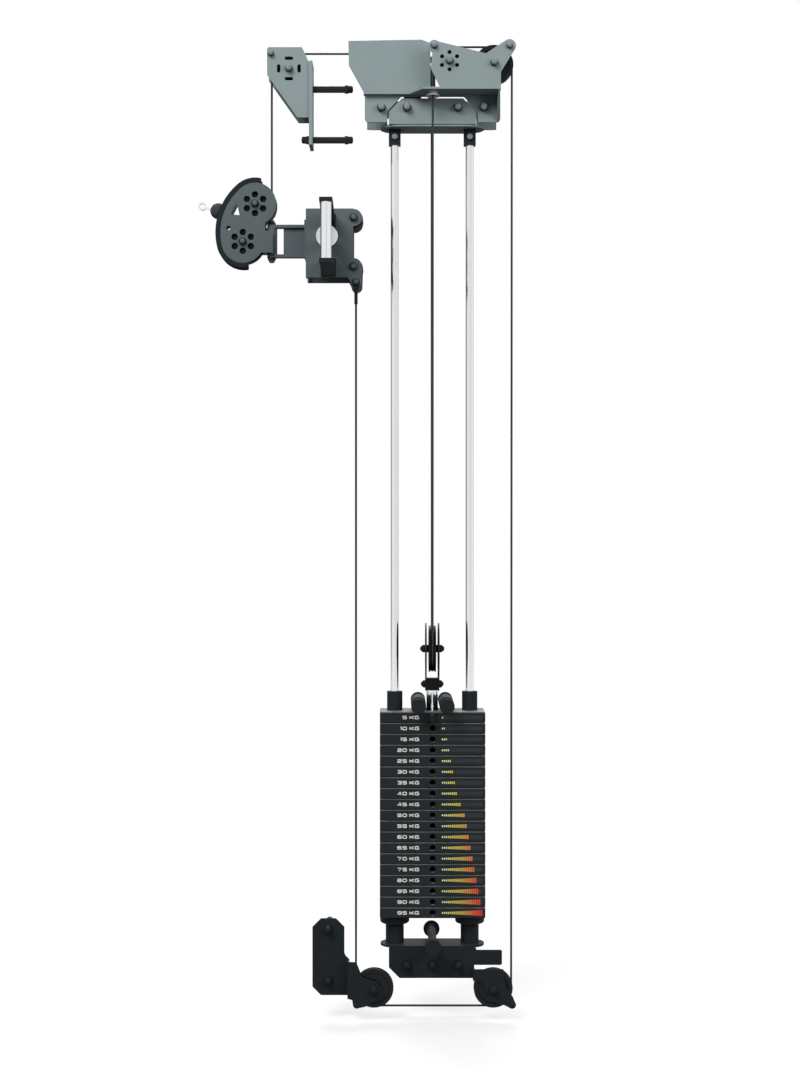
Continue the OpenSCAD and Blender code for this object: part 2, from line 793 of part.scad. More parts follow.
module floating_bracket() {
  cover_r = float_rim + 5.3;
  foot_half = 20;
  color(dark) {
    for (x = [-strap_out, strap_in]) plate_yz(x, strap_t) difference() {
      union() {
        dot([0, float_z], cover_r);
        polygon([
          [-foot_half, stem_top], [foot_half, stem_top],
          [cover_r * 0.8, float_z - cover_r * 0.6], [-cover_r * 0.8, float_z - cover_r * 0.6]
        ]);
      }
      dot([0, float_z], axle_d / 2 + hole_play);
      dot([0, cross_bolt_z], axle_d / 2 + hole_play);
      for (a = [30 : 60 : 330]) dot([30 * cos(a), float_z + 30 * sin(a)], 8);
    }
    translate([0, 0, float_z]) rotate([0, 90, 0])
      axle(strap_out + slit, strap_out + slit, strap_t + 2 * slit, strap_t + 2 * slit);
    translate([-strap_out - slit, 0, cross_bolt_z]) rotate([0, 90, 0])
      bolt(axle_d, 2 * (strap_out + slit), axle_head_d, 7);
  }
}

module stack_pegs() {
  color(black) for (s = [-1, 1]) inward([s * peg_x, 0, head_top + peg_d / 2]) peg(-100, 95, peg_d, 22, 90);
}

module selector_pin() {
  knob_l = 28;
  knob_d = 19;
  pin_l = weight_w / 2 + 25;
  color(dark) inward([0, -weight_w / 2 - rest, head_plate_z + weight_t / 2]) {
    translate([0, 0, -1]) cylinder(r = pin_hole_d / 2 - pin_play, h = pin_l - 2);
    translate([0, 0, pin_l - 3]) cylinder(r1 = pin_hole_d / 2 - pin_play, r2 = pin_hole_d / 2 - 3, h = 3);
    translate([0, 0, -knob_l]) cylinder(d1 = knob_d - 3, d2 = knob_d, h = 3);
    translate([0, 0, -knob_l + 3]) cylinder(d = knob_d, h = knob_l - 3);
  }
}

// Trolley

// Outline of a trolley plate: rectangle, two roller lobes and the clevis lobe
module trolley_outline() {
  lobe_r = 20;
  clevis_r = 13;
  difference() {
    union() {
      translate([trolley_front, trolley_z]) square([trolley_back - trolley_front, trolley_h]);
      for (i = [0, 1]) dot([roller_x, roller_z + i * roller_pitch], lobe_r);
      polygon([
        [roller_x - 18, trolley_z + 10], [roller_x, roller_z], [roller_x + lobe_r, roller_z],
        [clevis_x + clevis_r, clevis_z], [clevis_x - clevis_r, clevis_z]
      ]);
      dot([clevis_x, clevis_z], clevis_r);
    }
    for (i = [0, 1]) dot([roller_x, roller_z + i * roller_pitch], axle_d / 2 + hole_play);
    dot([clevis_x, clevis_z], keeper_d / 2 + hole_play);
  }
}

module trolley_outer_plate() {
  barrel_d = pop_d + 10;
  barrel_end = -plate_out - 43;
  cap_t = 4;
  color(slate) difference() {
    union() {
      plate_xz(-plate_out, sheet_t) trolley_outline();
      block([trolley_front, -plate_out, trolley_z], [trolley_front + sheet_t, -flange_in, trolley_top]);
      outward([-upright_x, -plate_out + 1, pop_z]) cylinder(d = barrel_d, h = -barrel_end - plate_out + 1);
    }
    outward([-upright_x, 0, pop_z]) cylinder(r = pop_d / 2 + pop_play, h = -barrel_end - cap_t);
    outward([-upright_x, 0, pop_z]) cylinder(r = axle_d / 2 + pop_play, h = -barrel_end + 1);
  }
}

module trolley_inner_plate() {
  color(slate) {
    plate_xz(plate_in, sheet_t) trolley_outline();
    block([trolley_front, flange_in, trolley_z], [trolley_front + sheet_t, plate_out, trolley_top]);
  }
}

module swivel_arms() {
  back_x = trolley_front - arm_back_t;
  web_x = -swivel_x + 28;
  color(slate) {
    block([back_x, -plate_out + 7, lower_arm_z - 6], [trolley_front, plate_out - 7, upper_arm_z + arm_t + 6]);
    for (z = [lower_arm_z, upper_arm_z]) plate_xy(z, arm_t) difference() {
      union() {
        dot([-swivel_x, 0], arm_half_w);
        translate([-swivel_x, -arm_half_w]) square([back_x + swivel_x, 2 * arm_half_w]);
      }
      dot([-swivel_x, 0], hinge_pin_d / 2 + hole_play);
    }
    block([web_x, -3, lower_arm_z + arm_t], [back_x, 3, upper_arm_z]);
  }
}

module trolley_bolts() {
  hinge_l = upper_arm_z + arm_t - lower_arm_z;
  clevis_l = sheet_t + 2 * (clevis_cheek + rest);
  color(dark) {
    for (i = [0, 1]) inward([roller_x, 0, roller_z + i * roller_pitch])
      axle(plate_out, plate_out, sheet_t, sheet_t, roller_w);
    translate([-swivel_x, 0, lower_arm_z]) bolt(hinge_pin_d, hinge_l, hinge_pin_d + 7, 8);
    inward([clevis_x, -plate_out - rest - clevis_cheek, clevis_z]) bolt(keeper_d, clevis_l, keeper_head_d, 6);
  }
}

module trolley_roller(z) {
  edge = 2;
  half = roller_w / 2 - side_play;
  color(rubber) inward([roller_x, 0, z]) rotate_extrude() {
    bore = axle_d / 2 + axle_play;
    translate([bore, -half]) square([roller_d / 2 - edge - bore, 2 * half]);
    polygon([
      [bore, -half], [roller_d / 2 - edge, -half], [roller_d / 2, -half + edge],
      [roller_d / 2, half - edge], [roller_d / 2 - edge, half], [bore, half]
    ]);
  }
}

module trolley_roller_upper() {
  trolley_roller(roller_z + roller_pitch);
}

module trolley_roller_lower() {
  trolley_roller(roller_z);
}

module pop_pin() {
  body_l = 49;
  free_l = plate_in + pop_tip_y - 0.5;
  knob_t = 12;
  tip = 2;
  color(chrome) outward([-upright_x, pop_tip_y, pop_z]) {
    cylinder(r1 = pop_d / 2 - tip, r2 = pop_d / 2, h = tip);
    translate([0, 0, tip]) cylinder(d = pop_d, h = free_l - tip);
    translate([0, 0, free_l - 1]) cylinder(d = pop_d - 1, h = body_l - free_l + 1);
    translate([0, 0, body_l - 1]) cylinder(d = axle_d, h = pop_tip_y - pop_knob_y - body_l);
    translate([0, 0, pop_tip_y - pop_knob_y - knob_t]) {
      cylinder(d1 = 46, d2 = 50, h = 2);
      translate([0, 0, 2]) cylinder(d = 50, h = knob_t - 4);
      translate([0, 0, knob_t - 2]) cylinder(d1 = 50, d2 = 46, h = 2);
    }
  }
}

module handle_bar() {
  color(chrome) translate([-upright_x, grip_y, grip_z]) cylinder(d = grip_d, h = grip_l);
}

// The foot of a handle bracket on the trolley's plate, from z0 to z1
module bracket_foot(z0, z1) {
  foot_w = 35;
  block([-upright_x - foot_w / 2, -plate_out - bracket_t, z0], [-upright_x + foot_w / 2, -plate_out, z1]);
}

module handle_brackets() {
  arm_w = 30;
  end_t = 9;
  top_z = grip_z + grip_l;
  tip_y = grip_y - grip_d / 2 - 3;
  color(black) {
    // lower arm with its foot
    plate_yz(-upright_x - arm_w / 2, arm_w) polygon([
      [-plate_out - bracket_t, trolley_z + 3], [-plate_out - bracket_t, trolley_z + 40],
      [grip_y + 18, grip_z],
      [tip_y, grip_z], [tip_y, grip_z - end_t], [grip_y + 18, grip_z - end_t]
    ]);
    bracket_foot(trolley_z + 2, trolley_z + 44);
    // upper arm with its foot
    plate_yz(-upright_x - arm_w / 2, arm_w) polygon([
      [-plate_out - bracket_t, trolley_z + 108], [-plate_out - bracket_t, trolley_z + 146],
      [grip_y + 18, top_z + end_t],
      [tip_y, top_z + end_t], [tip_y, top_z], [grip_y + 18, top_z]
    ]);
    bracket_foot(trolley_z + 104, trolley_z + 148);
  }
}

module cable_clevis() {
  middle = -plate_out + sheet_t / 2;
  fork = sheet_t / 2 + rest;
  bridge_z = -17;
  color(black) translate([clevis_x, 0, clevis_z]) {
    for (y = [middle - fork - clevis_cheek, middle + fork]) plate_xz(y, clevis_cheek) difference() {
      union() {
        dot([0, 0], 8.75);
        polygon([[-8.75, 0], [8.75, 0], [4, -28], [-4, -28]]);
      }
      dot([0, 0], keeper_d / 2 + hole_play);
    }
    plate_xz(middle - fork - 0.5, 2 * fork + 1) polygon([[-6, bridge_z], [6, bridge_z], [4, -28], [-4, -28]]);
    translate([0, lower_y, -clevis_foot]) cylinder(d = 8, h = clevis_foot - 26);
  }
}

// Swivel head

// Outline of the head's side plates, grown by g
module head_outline(g) {
  r = head_end_r - band_w + g;
  reach = 1.3 * bow_r;
  up = (upper_hub - bow) / bow_to_hub;
  down = (lower_hub - bow) / bow_to_hub;
  for (p = [upper_hub, lower_hub]) dot(p, r);
  intersection() {
    dot(bow, bow_to_hub + r);
    polygon([upper_hub, bow + reach * up, bow + reach * (up + down), bow + reach * down, lower_hub]);
  }
}

module head_side_plates() {
  hole_ring = 22;
  color(slate) for (y = [-head_out, head_in]) plate_xz(y, sheet_t) difference() {
    union() {
      head_outline(0);
      polygon([
        upper_hub, [-swivel_x - 14, trolley_z + 134], [-swivel_x - 14, trolley_z + tab_top + 2],
        [-swivel_x - 12, trolley_z + tab_top], [-swivel_x + 4, trolley_z + tab_top],
        [-swivel_x + 4, trolley_z + tab_low], [-swivel_x - 30, trolley_z + tab_low], lower_hub
      ]);
    }
    for (hub = [upper_hub, lower_hub]) {
      dot(hub, axle_d / 2 + hole_play);
      for (a = [30 : 60 : 330]) translate(hub + hole_ring * [cos(a), sin(a)]) circle(r = 8.5, $fn = 6);
    }
    translate(upper_hub) polygon([[-43, 2.8], [-57.9, -25.2], [-36.4, -26.9]]);
    dot(upper_hub - [62.8, 56.9], 5.5);
  }
}

module guard_band() {
  middle = (upper_hub[1] + lower_hub[1]) / 2;
  color(black) for (y = [-head_in - band_t, head_in]) plate_xz(y, band_t) difference() {
    head_outline(band_w);
    head_outline(0);
    translate([upper_hub[0] + 15, middle]) square(200);
    translate([lower_hub[0] + 11, middle - 200]) square(200);
  }
}

module head_hinge() {
  tube_z = lower_arm_z + arm_t + rest;
  color(slate) difference() {
    union() {
      translate([-swivel_x, 0, tube_z]) cylinder(d = hinge_d, h = upper_arm_z - rest - tube_z);
      block([-swivel_x - 20, -head_in, trolley_z + tab_low], [-swivel_x - 10, head_in, trolley_z + tab_top]);
    }
    translate([-swivel_x, 0, tube_z - 1])
      cylinder(r = hinge_pin_d / 2 + axle_play, h = upper_arm_z - tube_z + 2);
  }
}

module head_bolts() {
  color(dark) for (hub = [upper_hub, lower_hub])
    inward([hub[0], 0, hub[1]]) axle(head_out, head_out, sheet_t, sheet_t);
}

// Puts what follows at the ball stop, upwards along the cable's way out
module at_ball() {
  translate(ball_at) rotate([0, exit_rise - 90, 0]) children();
}

module ball_stop() {
  color(rubber) at_ball() difference() {
    sphere(d = ball_d, $fn = 64);
    translate([0, 0, -ball_d]) cylinder(d = cable_d + 0.2, h = 2 * ball_d);
  }
}

module cable_end() {
  ferrule_d = 8;
  color(chrome) at_ball() {
    translate([0, 0, 1 - ball_d / 2]) cylinder(d = cable_d, h = ball_d, $fn = 24);
    translate([0, 0, ball_d / 2 + rest]) cylinder(d = ferrule_d, h = 12);
    difference() {
      translate([0, 0, eye_run]) rotate([90, 0, 0]) cylinder(d = 20, h = 6, center = true);
      translate([0, 0, eye_run]) rotate([90, 0, 0]) cylinder(d = 11, h = 8, center = true);
    }
  }
}

// Cable

module cable_fixed() {
  cable_low = lower_z - big_r;
  color(rubber) {
    // over the top front pulley, round the turning pulley and over the inner pulley
    cross_bend([top_front_x, 0, top_axle_z], big_r, 90, 180);
    fall([top_front_x, 0, cable_top_z], [turn_x, 0, cable_top_z]);
    translate([turn_x, big_r, cable_top_z]) bend(big_r, -90, yaw - 90);
    fall(turn_exit, turn_exit + inner_run * yaw_dir);
    at_inner_pulley() bend(big_r, 0, 90);
    // over the outer pulleys
    cross_bend(outer_at, small_r, 90, 180);
    fall([outer_at[0], outer_y, outer_cable_z], [rear_x, outer_y, outer_cable_z]);
    cross_bend(rear_top_at, big_r, 0, 90);
    fall([rear_x + big_r, outer_y, rear_top_at[2]], [rear_x + big_r, lower_y, lower_z]);
    // under the lower pulleys
    cross_bend(rear_bottom_at, big_r, -90, 0);
    fall([front_bottom_at[0], lower_y, cable_low], [rear_x, lower_y, cable_low]);
    cross_bend(front_bottom_at, big_r, 180, 270);
  }
}

module cable_front_run() {
  color(rubber) run([-swivel_x, 0, upper_hub[1]], [-swivel_x, 0, top_axle_z]);
}

module cable_lower_run() {
  color(rubber) run([clevis_x, lower_y, lower_z], [clevis_x, lower_y, clevis_z - clevis_foot]);
}

module cable_rear_fall() {
  color(rubber)
    fall([0, float_r * cos(rear_wrap), float_z + float_r * sin(rear_wrap)], [0, rear_fall_y, inner_at[2]]);
}

module cable_front_fall() {
  color(rubber)
    fall([0, -float_r * cos(front_wrap), float_z + float_r * sin(front_wrap)], [0, outer_y, outer_z]);
}

module cable_on_float() {
  color(rubber) translate([0, 0, float_z]) rotate([90, 0, 90])
    bend(float_r, 180 - front_wrap, 360 + rear_wrap);
}

module cable_in_head() {
  color(rubber) {
    cross_bend([upper_hub[0], 0, upper_hub[1]], small_r, -90 - exit_rise, 0);
    run(exit_at, exit_at + (ball_run - ball_d / 2 - rest) * exit_dir);
  }
}

// Pulleys

module turn_pulley() {
  color(black) translate([turn_x, big_r, cable_top_z]) pulley(big_r, turn_w);
}

module inner_pulley() {
  color(black) at_inner_pulley() pulley(big_r);
}

module outer_pulley() {
  color(black) cross_pulley(outer_at, small_r);
}

module rear_top_pulley() {
  color(black) cross_pulley(rear_top_at, big_r);
}

module rear_bottom_pulley() {
  color(black) cross_pulley(rear_bottom_at, big_r);
}

module front_bottom_pulley() {
  color(black) cross_pulley(front_bottom_at, big_r);
}

module top_front_pulley() {
  color(black) cross_pulley([top_front_x, 0, top_axle_z], big_r);
}

module floating_pulley() {
  color(black) translate([0, 0, float_z]) rotate([0, 90, 0]) pulley(float_r);
}

module head_upper_pulley() {
  color(black) cross_pulley([upper_hub[0], 0, upper_hub[1]], small_r);
}

module head_lower_pulley() {
  color(black) cross_pulley([lower_hub[0], 0, lower_hub[1]], small_r);
}

upper_outer_plate();
upper_outer_skirt();
upper_inner_skirt();
outer_pulley_plate();
inner_pulley_bracket();
cable_guides();
rod_mount_side_plates();
upper_rod_plate();
rod_clamps();
guide_rods();
base_plate();
base_side_plates();
lower_pulley_ears();
base_posts();
rubber_bumpers();
base_peg();
front_bottom_plate();
top_front_bracket();
mounting_bolts();
pulley_axles();
weight_plates();
cable_fixed();
cable_front_run();
cable_lower_run();
cable_rear_fall();
cable_front_fall();
turn_pulley();
inner_pulley();
outer_pulley();
rear_top_pulley();
rear_bottom_pulley();
front_bottom_pulley();
top_front_pulley();
floating_pulley();
head_upper_pulley();
head_lower_pulley();
trolley_outer_plate();
trolley_inner_plate();
swivel_arms();
trolley_bolts();
handle_bar();
handle_brackets();
cable_clevis();
trolley_roller_upper();
trolley_roller_lower();
pop_pin();
head_side_plates();
guard_band();
head_hinge();
head_bolts();
cable_in_head();
ball_stop();
cable_end();
head_plate();
guide_collars();
selector_stem();
floating_bracket();
stack_pegs();
cable_on_float();
selector_pin();
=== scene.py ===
# %% [markdown]
# # Dressing a cable pulley attachment
# The real object is a weight-stack cable tower that bolts to a square tube frame. Its shape and its
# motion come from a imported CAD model. This lesson gives every piece its finish, adds the details that
# are too fine for the solids, and sets up a plain studio. The scene is in metres. Measures taken off
# the object are written in millimetres, and MM turns them into metres.

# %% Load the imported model
import json
import math
import bmesh
import bpy
from mathutils import Matrix, Vector


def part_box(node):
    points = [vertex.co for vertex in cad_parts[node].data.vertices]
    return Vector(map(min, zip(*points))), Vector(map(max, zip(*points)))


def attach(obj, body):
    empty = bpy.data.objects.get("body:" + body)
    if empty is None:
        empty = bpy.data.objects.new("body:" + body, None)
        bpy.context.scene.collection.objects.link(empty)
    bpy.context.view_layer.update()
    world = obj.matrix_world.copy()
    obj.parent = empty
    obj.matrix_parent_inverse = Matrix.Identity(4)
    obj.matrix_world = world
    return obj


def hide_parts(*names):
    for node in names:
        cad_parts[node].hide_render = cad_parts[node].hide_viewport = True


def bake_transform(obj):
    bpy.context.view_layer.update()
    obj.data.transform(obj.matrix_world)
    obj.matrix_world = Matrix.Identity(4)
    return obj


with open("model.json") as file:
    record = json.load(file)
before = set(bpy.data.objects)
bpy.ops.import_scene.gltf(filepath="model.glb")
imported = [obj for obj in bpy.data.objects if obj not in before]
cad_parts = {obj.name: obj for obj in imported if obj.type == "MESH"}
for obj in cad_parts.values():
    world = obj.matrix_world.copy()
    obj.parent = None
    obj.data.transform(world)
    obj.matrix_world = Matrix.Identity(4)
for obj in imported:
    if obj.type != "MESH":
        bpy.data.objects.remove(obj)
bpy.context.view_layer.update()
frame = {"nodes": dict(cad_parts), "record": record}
MM = 0.001

# %% [markdown]
# ## The camera
# A product photograph like this one is taken from far away with a level camera, so that upright rods
# stay upright. The distance and the lens decide how much nearer pieces grow, so both were worked out
# from pieces whose size is known. The sensor's 36 mm lie along the picture's long side.

# %% Put up the camera
CAMERA_PLACE = Vector((-0.0763, -4.3375, 1.011))
LENS = 61.76
camera_data = bpy.data.cameras.new("camera")
camera_data.lens = LENS
camera_data.sensor_width = 36
camera_data.clip_end = 60
camera = bpy.data.objects.new("camera", camera_data)
camera.location = CAMERA_PLACE
camera.rotation_euler = (math.radians(90), 0, 0)
bpy.context.scene.collection.objects.link(camera)
bpy.context.scene.camera = camera
print("camera at", tuple(CAMERA_PLACE))

# %% [markdown]
# ## The studio
# A white room could be built from walls, but a white world and a floor do the same with less. The
# lamps are wide, so that their shadows are soft, and hang high, so that undersides stay dark as in a
# product photograph. The floor is white where the camera or a mirror sees it, keeps the shadow near
# the object, and throws little light back up. Even matt paint mirrors when it is seen nearly edge
# on, so a white floor behind the object would still whiten its undersides. For mirrors the floor
# and the world are therefore dark low down at the back.

# %% Lay the floor and hang the lamps
FLOOR_Z = -0.130
FLOOR_REACH = 9
SHADOW_KEPT, SHADOW_GONE = 0.3, 1.4
MIRROR_PLACE = (0, 0, 0.9)  # where mirrored rays are taken to leave the object
BACK_STARTS, BACK_FULL = 0.72, 0.88
DARK_FOR_MIRRORS = 0.88
WHITE_FOR_MIRRORS = 0.92
LIGHT_BELOW, LIGHT_ABOVE = 0.14, 0.56


def node_material(name):
    """A material with an empty tree and its output node."""
    material = bpy.data.materials.new(name)
    material.use_nodes = True
    tree = material.node_tree
    tree.nodes.clear()
    return material, tree, tree.nodes.new("ShaderNodeOutputMaterial")


def srgb(*levels):
    """Screen levels from 0 to 255 as a linear colour."""
    linear = [(v / 255 / 12.92) if v <= 10 else ((v / 255 + 0.055) / 1.055) ** 2.4 for v in levels]
    return (*linear, 1.0)


def feed(tree, socket, value):
    """Gives a socket a plain value, or a link from another socket."""
    if isinstance(value, bpy.types.NodeSocket):
        tree.links.new(value, socket)
    else:
        socket.default_value = value


def calc(tree, operation, a, b=0.0):
    """A Math node. Each side is a number or a socket."""
    node = tree.nodes.new("ShaderNodeMath")
    node.operation = operation
    feed(tree, node.inputs[0], a)
    feed(tree, node.inputs[1], b)
    return node.outputs[0]


def spread(tree, value, low, high, to_low=0.0, to_high=1.0, kind="SMOOTHSTEP"):
    """A Map Range, smooth unless its kind says otherwise."""
    node = tree.nodes.new("ShaderNodeMapRange")
    node.interpolation_type = kind
    tree.links.new(value, node.inputs["Value"])
    for label, number in (("From Min", low), ("From Max", high), ("To Min", to_low), ("To Max", to_high)):
        node.inputs[label].default_value = number
    return node.outputs["Result"]


def vector_calc(tree, operation, vector, other=(0, 0, 0), result="Value"):
    """A Vector Math node. Its result is a number, such as a dot product, or a vector."""
    node = tree.nodes.new("ShaderNodeVectorMath")
    node.operation = operation
    tree.links.new(vector, node.inputs[0])
    node.inputs[1].default_value = other
    return node.outputs[result]


def component(tree, vector, axis):
    """One of a vector's three numbers."""
    node = tree.nodes.new("ShaderNodeSeparateXYZ")
    tree.links.new(vector, node.inputs[0])
    return node.outputs[axis]


def mix_shaders(tree, share, first, second):
    """A Mix Shader between two shader nodes' outputs."""
    node = tree.nodes.new("ShaderNodeMixShader")
    tree.links.new(share, node.inputs[0])
    tree.links.new(first, node.inputs[1])
    tree.links.new(second, node.inputs[2])
    return node.outputs[0]


floor_bm = bmesh.new()
bmesh.ops.create_grid(floor_bm, x_segments=1, y_segments=1, size=FLOOR_REACH)
bmesh.ops.translate(floor_bm, vec=(0, 0, FLOOR_Z), verts=floor_bm.verts)
floor_mesh = bpy.data.meshes.new("studio_floor")
floor_bm.to_mesh(floor_mesh)
floor_bm.free()
floor = bpy.data.objects.new("studio_floor", floor_mesh)
bpy.context.scene.collection.objects.link(floor)
floor_material, floor_tree, floor_out = node_material("floor_white")
lit_floor = floor_tree.nodes.new("ShaderNodeBsdfPrincipled")
lit_floor.inputs["Base Color"].default_value = srgb(250, 250, 250)
lit_floor.inputs["Roughness"].default_value = 0.9
dim_floor = floor_tree.nodes.new("ShaderNodeBsdfDiffuse")
dim_floor.inputs["Color"].default_value = srgb(66, 66, 67)
white_floor = floor_tree.nodes.new("ShaderNodeEmission")
floor_place = floor_tree.nodes.new("ShaderNodeTexCoord").outputs["Object"]
from_object = vector_calc(floor_tree, "DISTANCE", floor_place, (0, 0, FLOOR_Z))
away = spread(floor_tree, from_object, SHADOW_KEPT, SHADOW_GONE, 0.5, 1.0)
shadowed = mix_shaders(floor_tree, away, lit_floor.outputs[0], white_floor.outputs[0])
to_floor = vector_calc(floor_tree, "SUBTRACT", floor_place, MIRROR_PLACE, "Vector")
way_there = vector_calc(floor_tree, "NORMALIZE", to_floor, result="Vector")
backward = component(floor_tree, way_there, "Y")
at_back = spread(floor_tree, backward, BACK_STARTS, BACK_FULL, 0.0, DARK_FOR_MIRRORS)
floor_rays = floor_tree.nodes.new("ShaderNodeLightPath").outputs
in_a_mirror = calc(floor_tree, "MULTIPLY", floor_rays["Is Glossy Ray"],
                   calc(floor_tree, "SUBTRACT", 1.0, at_back))
plainly = calc(floor_tree, "MAXIMUM", floor_rays["Is Camera Ray"], floor_rays["Is Transmission Ray"])
white_share = calc(floor_tree, "MAXIMUM", plainly, in_a_mirror)
whole_floor = mix_shaders(floor_tree, white_share, dim_floor.outputs[0], shadowed)
floor_tree.links.new(whole_floor, floor_out.inputs[0])
floor_mesh.materials.append(floor_material)

LAMPS = (  # place, aim, width, watts, seen in mirrors
    ((-1.9, -3.3, 4.3), (0, 0, 1.3), 2.2, 165, False),
    ((2.6, -3.2, 2.6), (0, 0, 1.0), 2.0, 62, False),
    ((-0.6, 2.8, 4.0), (0, 0, 1.2), 2.4, 110, True),
)
for number, (place, aim, width, watts, mirrored) in enumerate(LAMPS):
    lamp_data = bpy.data.lights.new(f"lamp_{number}", "AREA")
    lamp_data.size = width
    lamp_data.energy = watts
    lamp = bpy.data.objects.new(f"lamp_{number}", lamp_data)
    lamp.location = place
    lamp.rotation_euler = (Vector(aim) - Vector(place)).to_track_quat("-Z", "Y").to_euler()
    lamp.visible_glossy = mirrored
    bpy.context.scene.collection.objects.link(lamp)

world = bpy.data.worlds.new("white_room")
bpy.context.scene.world = world
world.use_nodes = True
sky = world.node_tree
sky.nodes.clear()
direction = sky.nodes.new("ShaderNodeTexCoord").outputs["Generated"]
upness = component(sky, direction, "Z")
soft_light = spread(sky, upness, -0.1, 0.8, LIGHT_BELOW, LIGHT_ABOVE)
low_down = spread(sky, upness, -0.135, -0.09, DARK_FOR_MIRRORS, 0.0)
far_back = spread(sky, component(sky, direction, "Y"), BACK_STARTS, BACK_FULL)
in_mirrors = calc(sky, "SUBTRACT", WHITE_FOR_MIRRORS, calc(sky, "MULTIPLY", low_down, far_back))
ROD_LINES = (  # the rods' darker lines: direction, start and end of its edge, share of light left
    ((-0.707, 0.707, 0), 0.74, 0.9, 0.18),
    ((0.6, 0.8, 0), 0.86, 0.97, 0.62),
    ((0.2, -0.98, 0), 0.93, 0.99, 0.8),
)
for way, first, last, left in ROD_LINES:
    shade = spread(sky, vector_calc(sky, "DOT_PRODUCT", direction, way), first, last, 1.0, left)
    in_mirrors = calc(sky, "MULTIPLY", shade, in_mirrors)


def blend_numbers(tree, share, low, high):
    """A number between two, each a number or a socket."""
    node = tree.nodes.new("ShaderNodeMix")
    tree.links.new(share, node.inputs["Factor"])
    feed(tree, node.inputs["A"], low)
    feed(tree, node.inputs["B"], high)
    return node.outputs["Result"]


background = sky.nodes.new("ShaderNodeBackground")
background.inputs["Color"].default_value = (1, 1, 1, 1)
sky_out = sky.nodes.new("ShaderNodeOutputWorld")
sky_rays = sky.nodes.new("ShaderNodeLightPath").outputs
seen_plainly = calc(sky, "MAXIMUM", sky_rays["Is Camera Ray"], sky_rays["Is Transmission Ray"])
light_or_mirror = blend_numbers(sky, sky_rays["Is Glossy Ray"], soft_light, in_mirrors)
sky.links.new(blend_numbers(sky, seen_plainly, light_or_mirror, 1.0), background.inputs["Strength"])
sky.links.new(background.outputs[0], sky_out.inputs[0])
bpy.context.scene.view_settings.view_transform = "Standard"
print("lamps:", len(LAMPS))

# %% [markdown]
# ## Shared effects
# Powder coat, scuffs and dust turn up on many pieces. Each is a small node group with named inputs,
# so that a finish is a matter of choosing numbers. They read Object coordinates, which are the
# object's own metres, so the grain has one size on every piece.

# %% Build the node groups


def new_group(name, inputs, outputs):
    """A shader group with its sockets. Returns the group and its inner ends."""
    group = bpy.data.node_groups.new(name, "ShaderNodeTree")
    for label, kind, value in inputs:
        socket = group.interface.new_socket(label, in_out="INPUT", socket_type=kind)
        if value is not None:
            socket.default_value = value
    for label, kind in outputs:
        group.interface.new_socket(label, in_out="OUTPUT", socket_type=kind)
    return group, group.nodes.new("NodeGroupInput"), group.nodes.new("NodeGroupOutput")


def noise(tree, vector, scale, detail=2.0):
    """A noise texture on that vector. The scale is a number or a socket."""
    texture = tree.nodes.new("ShaderNodeTexNoise")
    texture.inputs["Detail"].default_value = detail
    tree.links.new(vector, texture.inputs["Vector"])
    feed(tree, texture.inputs["Scale"], scale)
    return texture.outputs["Fac"]


def blend_colour(tree, share, low, high):
    """A colour between two, each a colour or a socket."""
    node = tree.nodes.new("ShaderNodeMix")
    node.data_type = "RGBA"
    tree.links.new(share, node.inputs["Factor"])
    feed(tree, node.inputs[6], low)
    feed(tree, node.inputs[7], high)
    return node.outputs[2]


COLOUR, FLOAT, VECTOR = "NodeSocketColor", "NodeSocketFloat", "NodeSocketVector"

skin, skin_in, skin_out = new_group(
    "coat_skin",
    (("Vector", VECTOR, None), ("Colour", COLOUR, (0.5, 0.5, 0.5, 1)), ("Grain", FLOAT, 900.0),
     ("Mottle", FLOAT, 0.08), ("Roughness", FLOAT, 0.45)),
    (("Colour", COLOUR), ("Roughness", FLOAT), ("Height", FLOAT)),
)
peel = noise(skin, skin_in.outputs["Vector"], skin_in.outputs["Grain"], 2)
cloud = noise(skin, skin_in.outputs["Vector"], 14.0, 4)
shift = calc(skin, "MULTIPLY", calc(skin, "SUBTRACT", cloud, 0.5), skin_in.outputs["Mottle"])
level = calc(skin, "ADD", calc(skin, "MULTIPLY", shift, 2.0), 1.0)
tint = skin.nodes.new("ShaderNodeVectorMath")
tint.operation = "SCALE"
skin.links.new(skin_in.outputs["Colour"], tint.inputs[0])
skin.links.new(level, tint.inputs["Scale"])
skin.links.new(tint.outputs[0], skin_out.inputs["Colour"])
skin.links.new(calc(skin, "ADD", skin_in.outputs["Roughness"], shift), skin_out.inputs["Roughness"])
skin.links.new(peel, skin_out.inputs["Height"])

scuffs, scuffs_in, scuffs_out = new_group(
    "scuff_marks",
    (("Vector", VECTOR, None), ("Amount", FLOAT, 0.3)),
    (("Mask", FLOAT),),
)
long_way = scuffs.nodes.new("ShaderNodeMapping")
long_way.inputs["Scale"].default_value = (26, 160, 26)
long_way.inputs["Rotation"].default_value = (0.5, 0.3, 0.7)
scuffs.links.new(scuffs_in.outputs["Vector"], long_way.inputs["Vector"])
streak = spread(scuffs, noise(scuffs, long_way.outputs[0], 1.0, 6), 0.64, 0.72)
patch = spread(scuffs, noise(scuffs, scuffs_in.outputs["Vector"], 9.0, 2), 0.5, 0.66)
worn = calc(scuffs, "MULTIPLY", calc(scuffs, "MULTIPLY", streak, patch), scuffs_in.outputs["Amount"])
scuffs.links.new(worn, scuffs_out.inputs["Mask"])

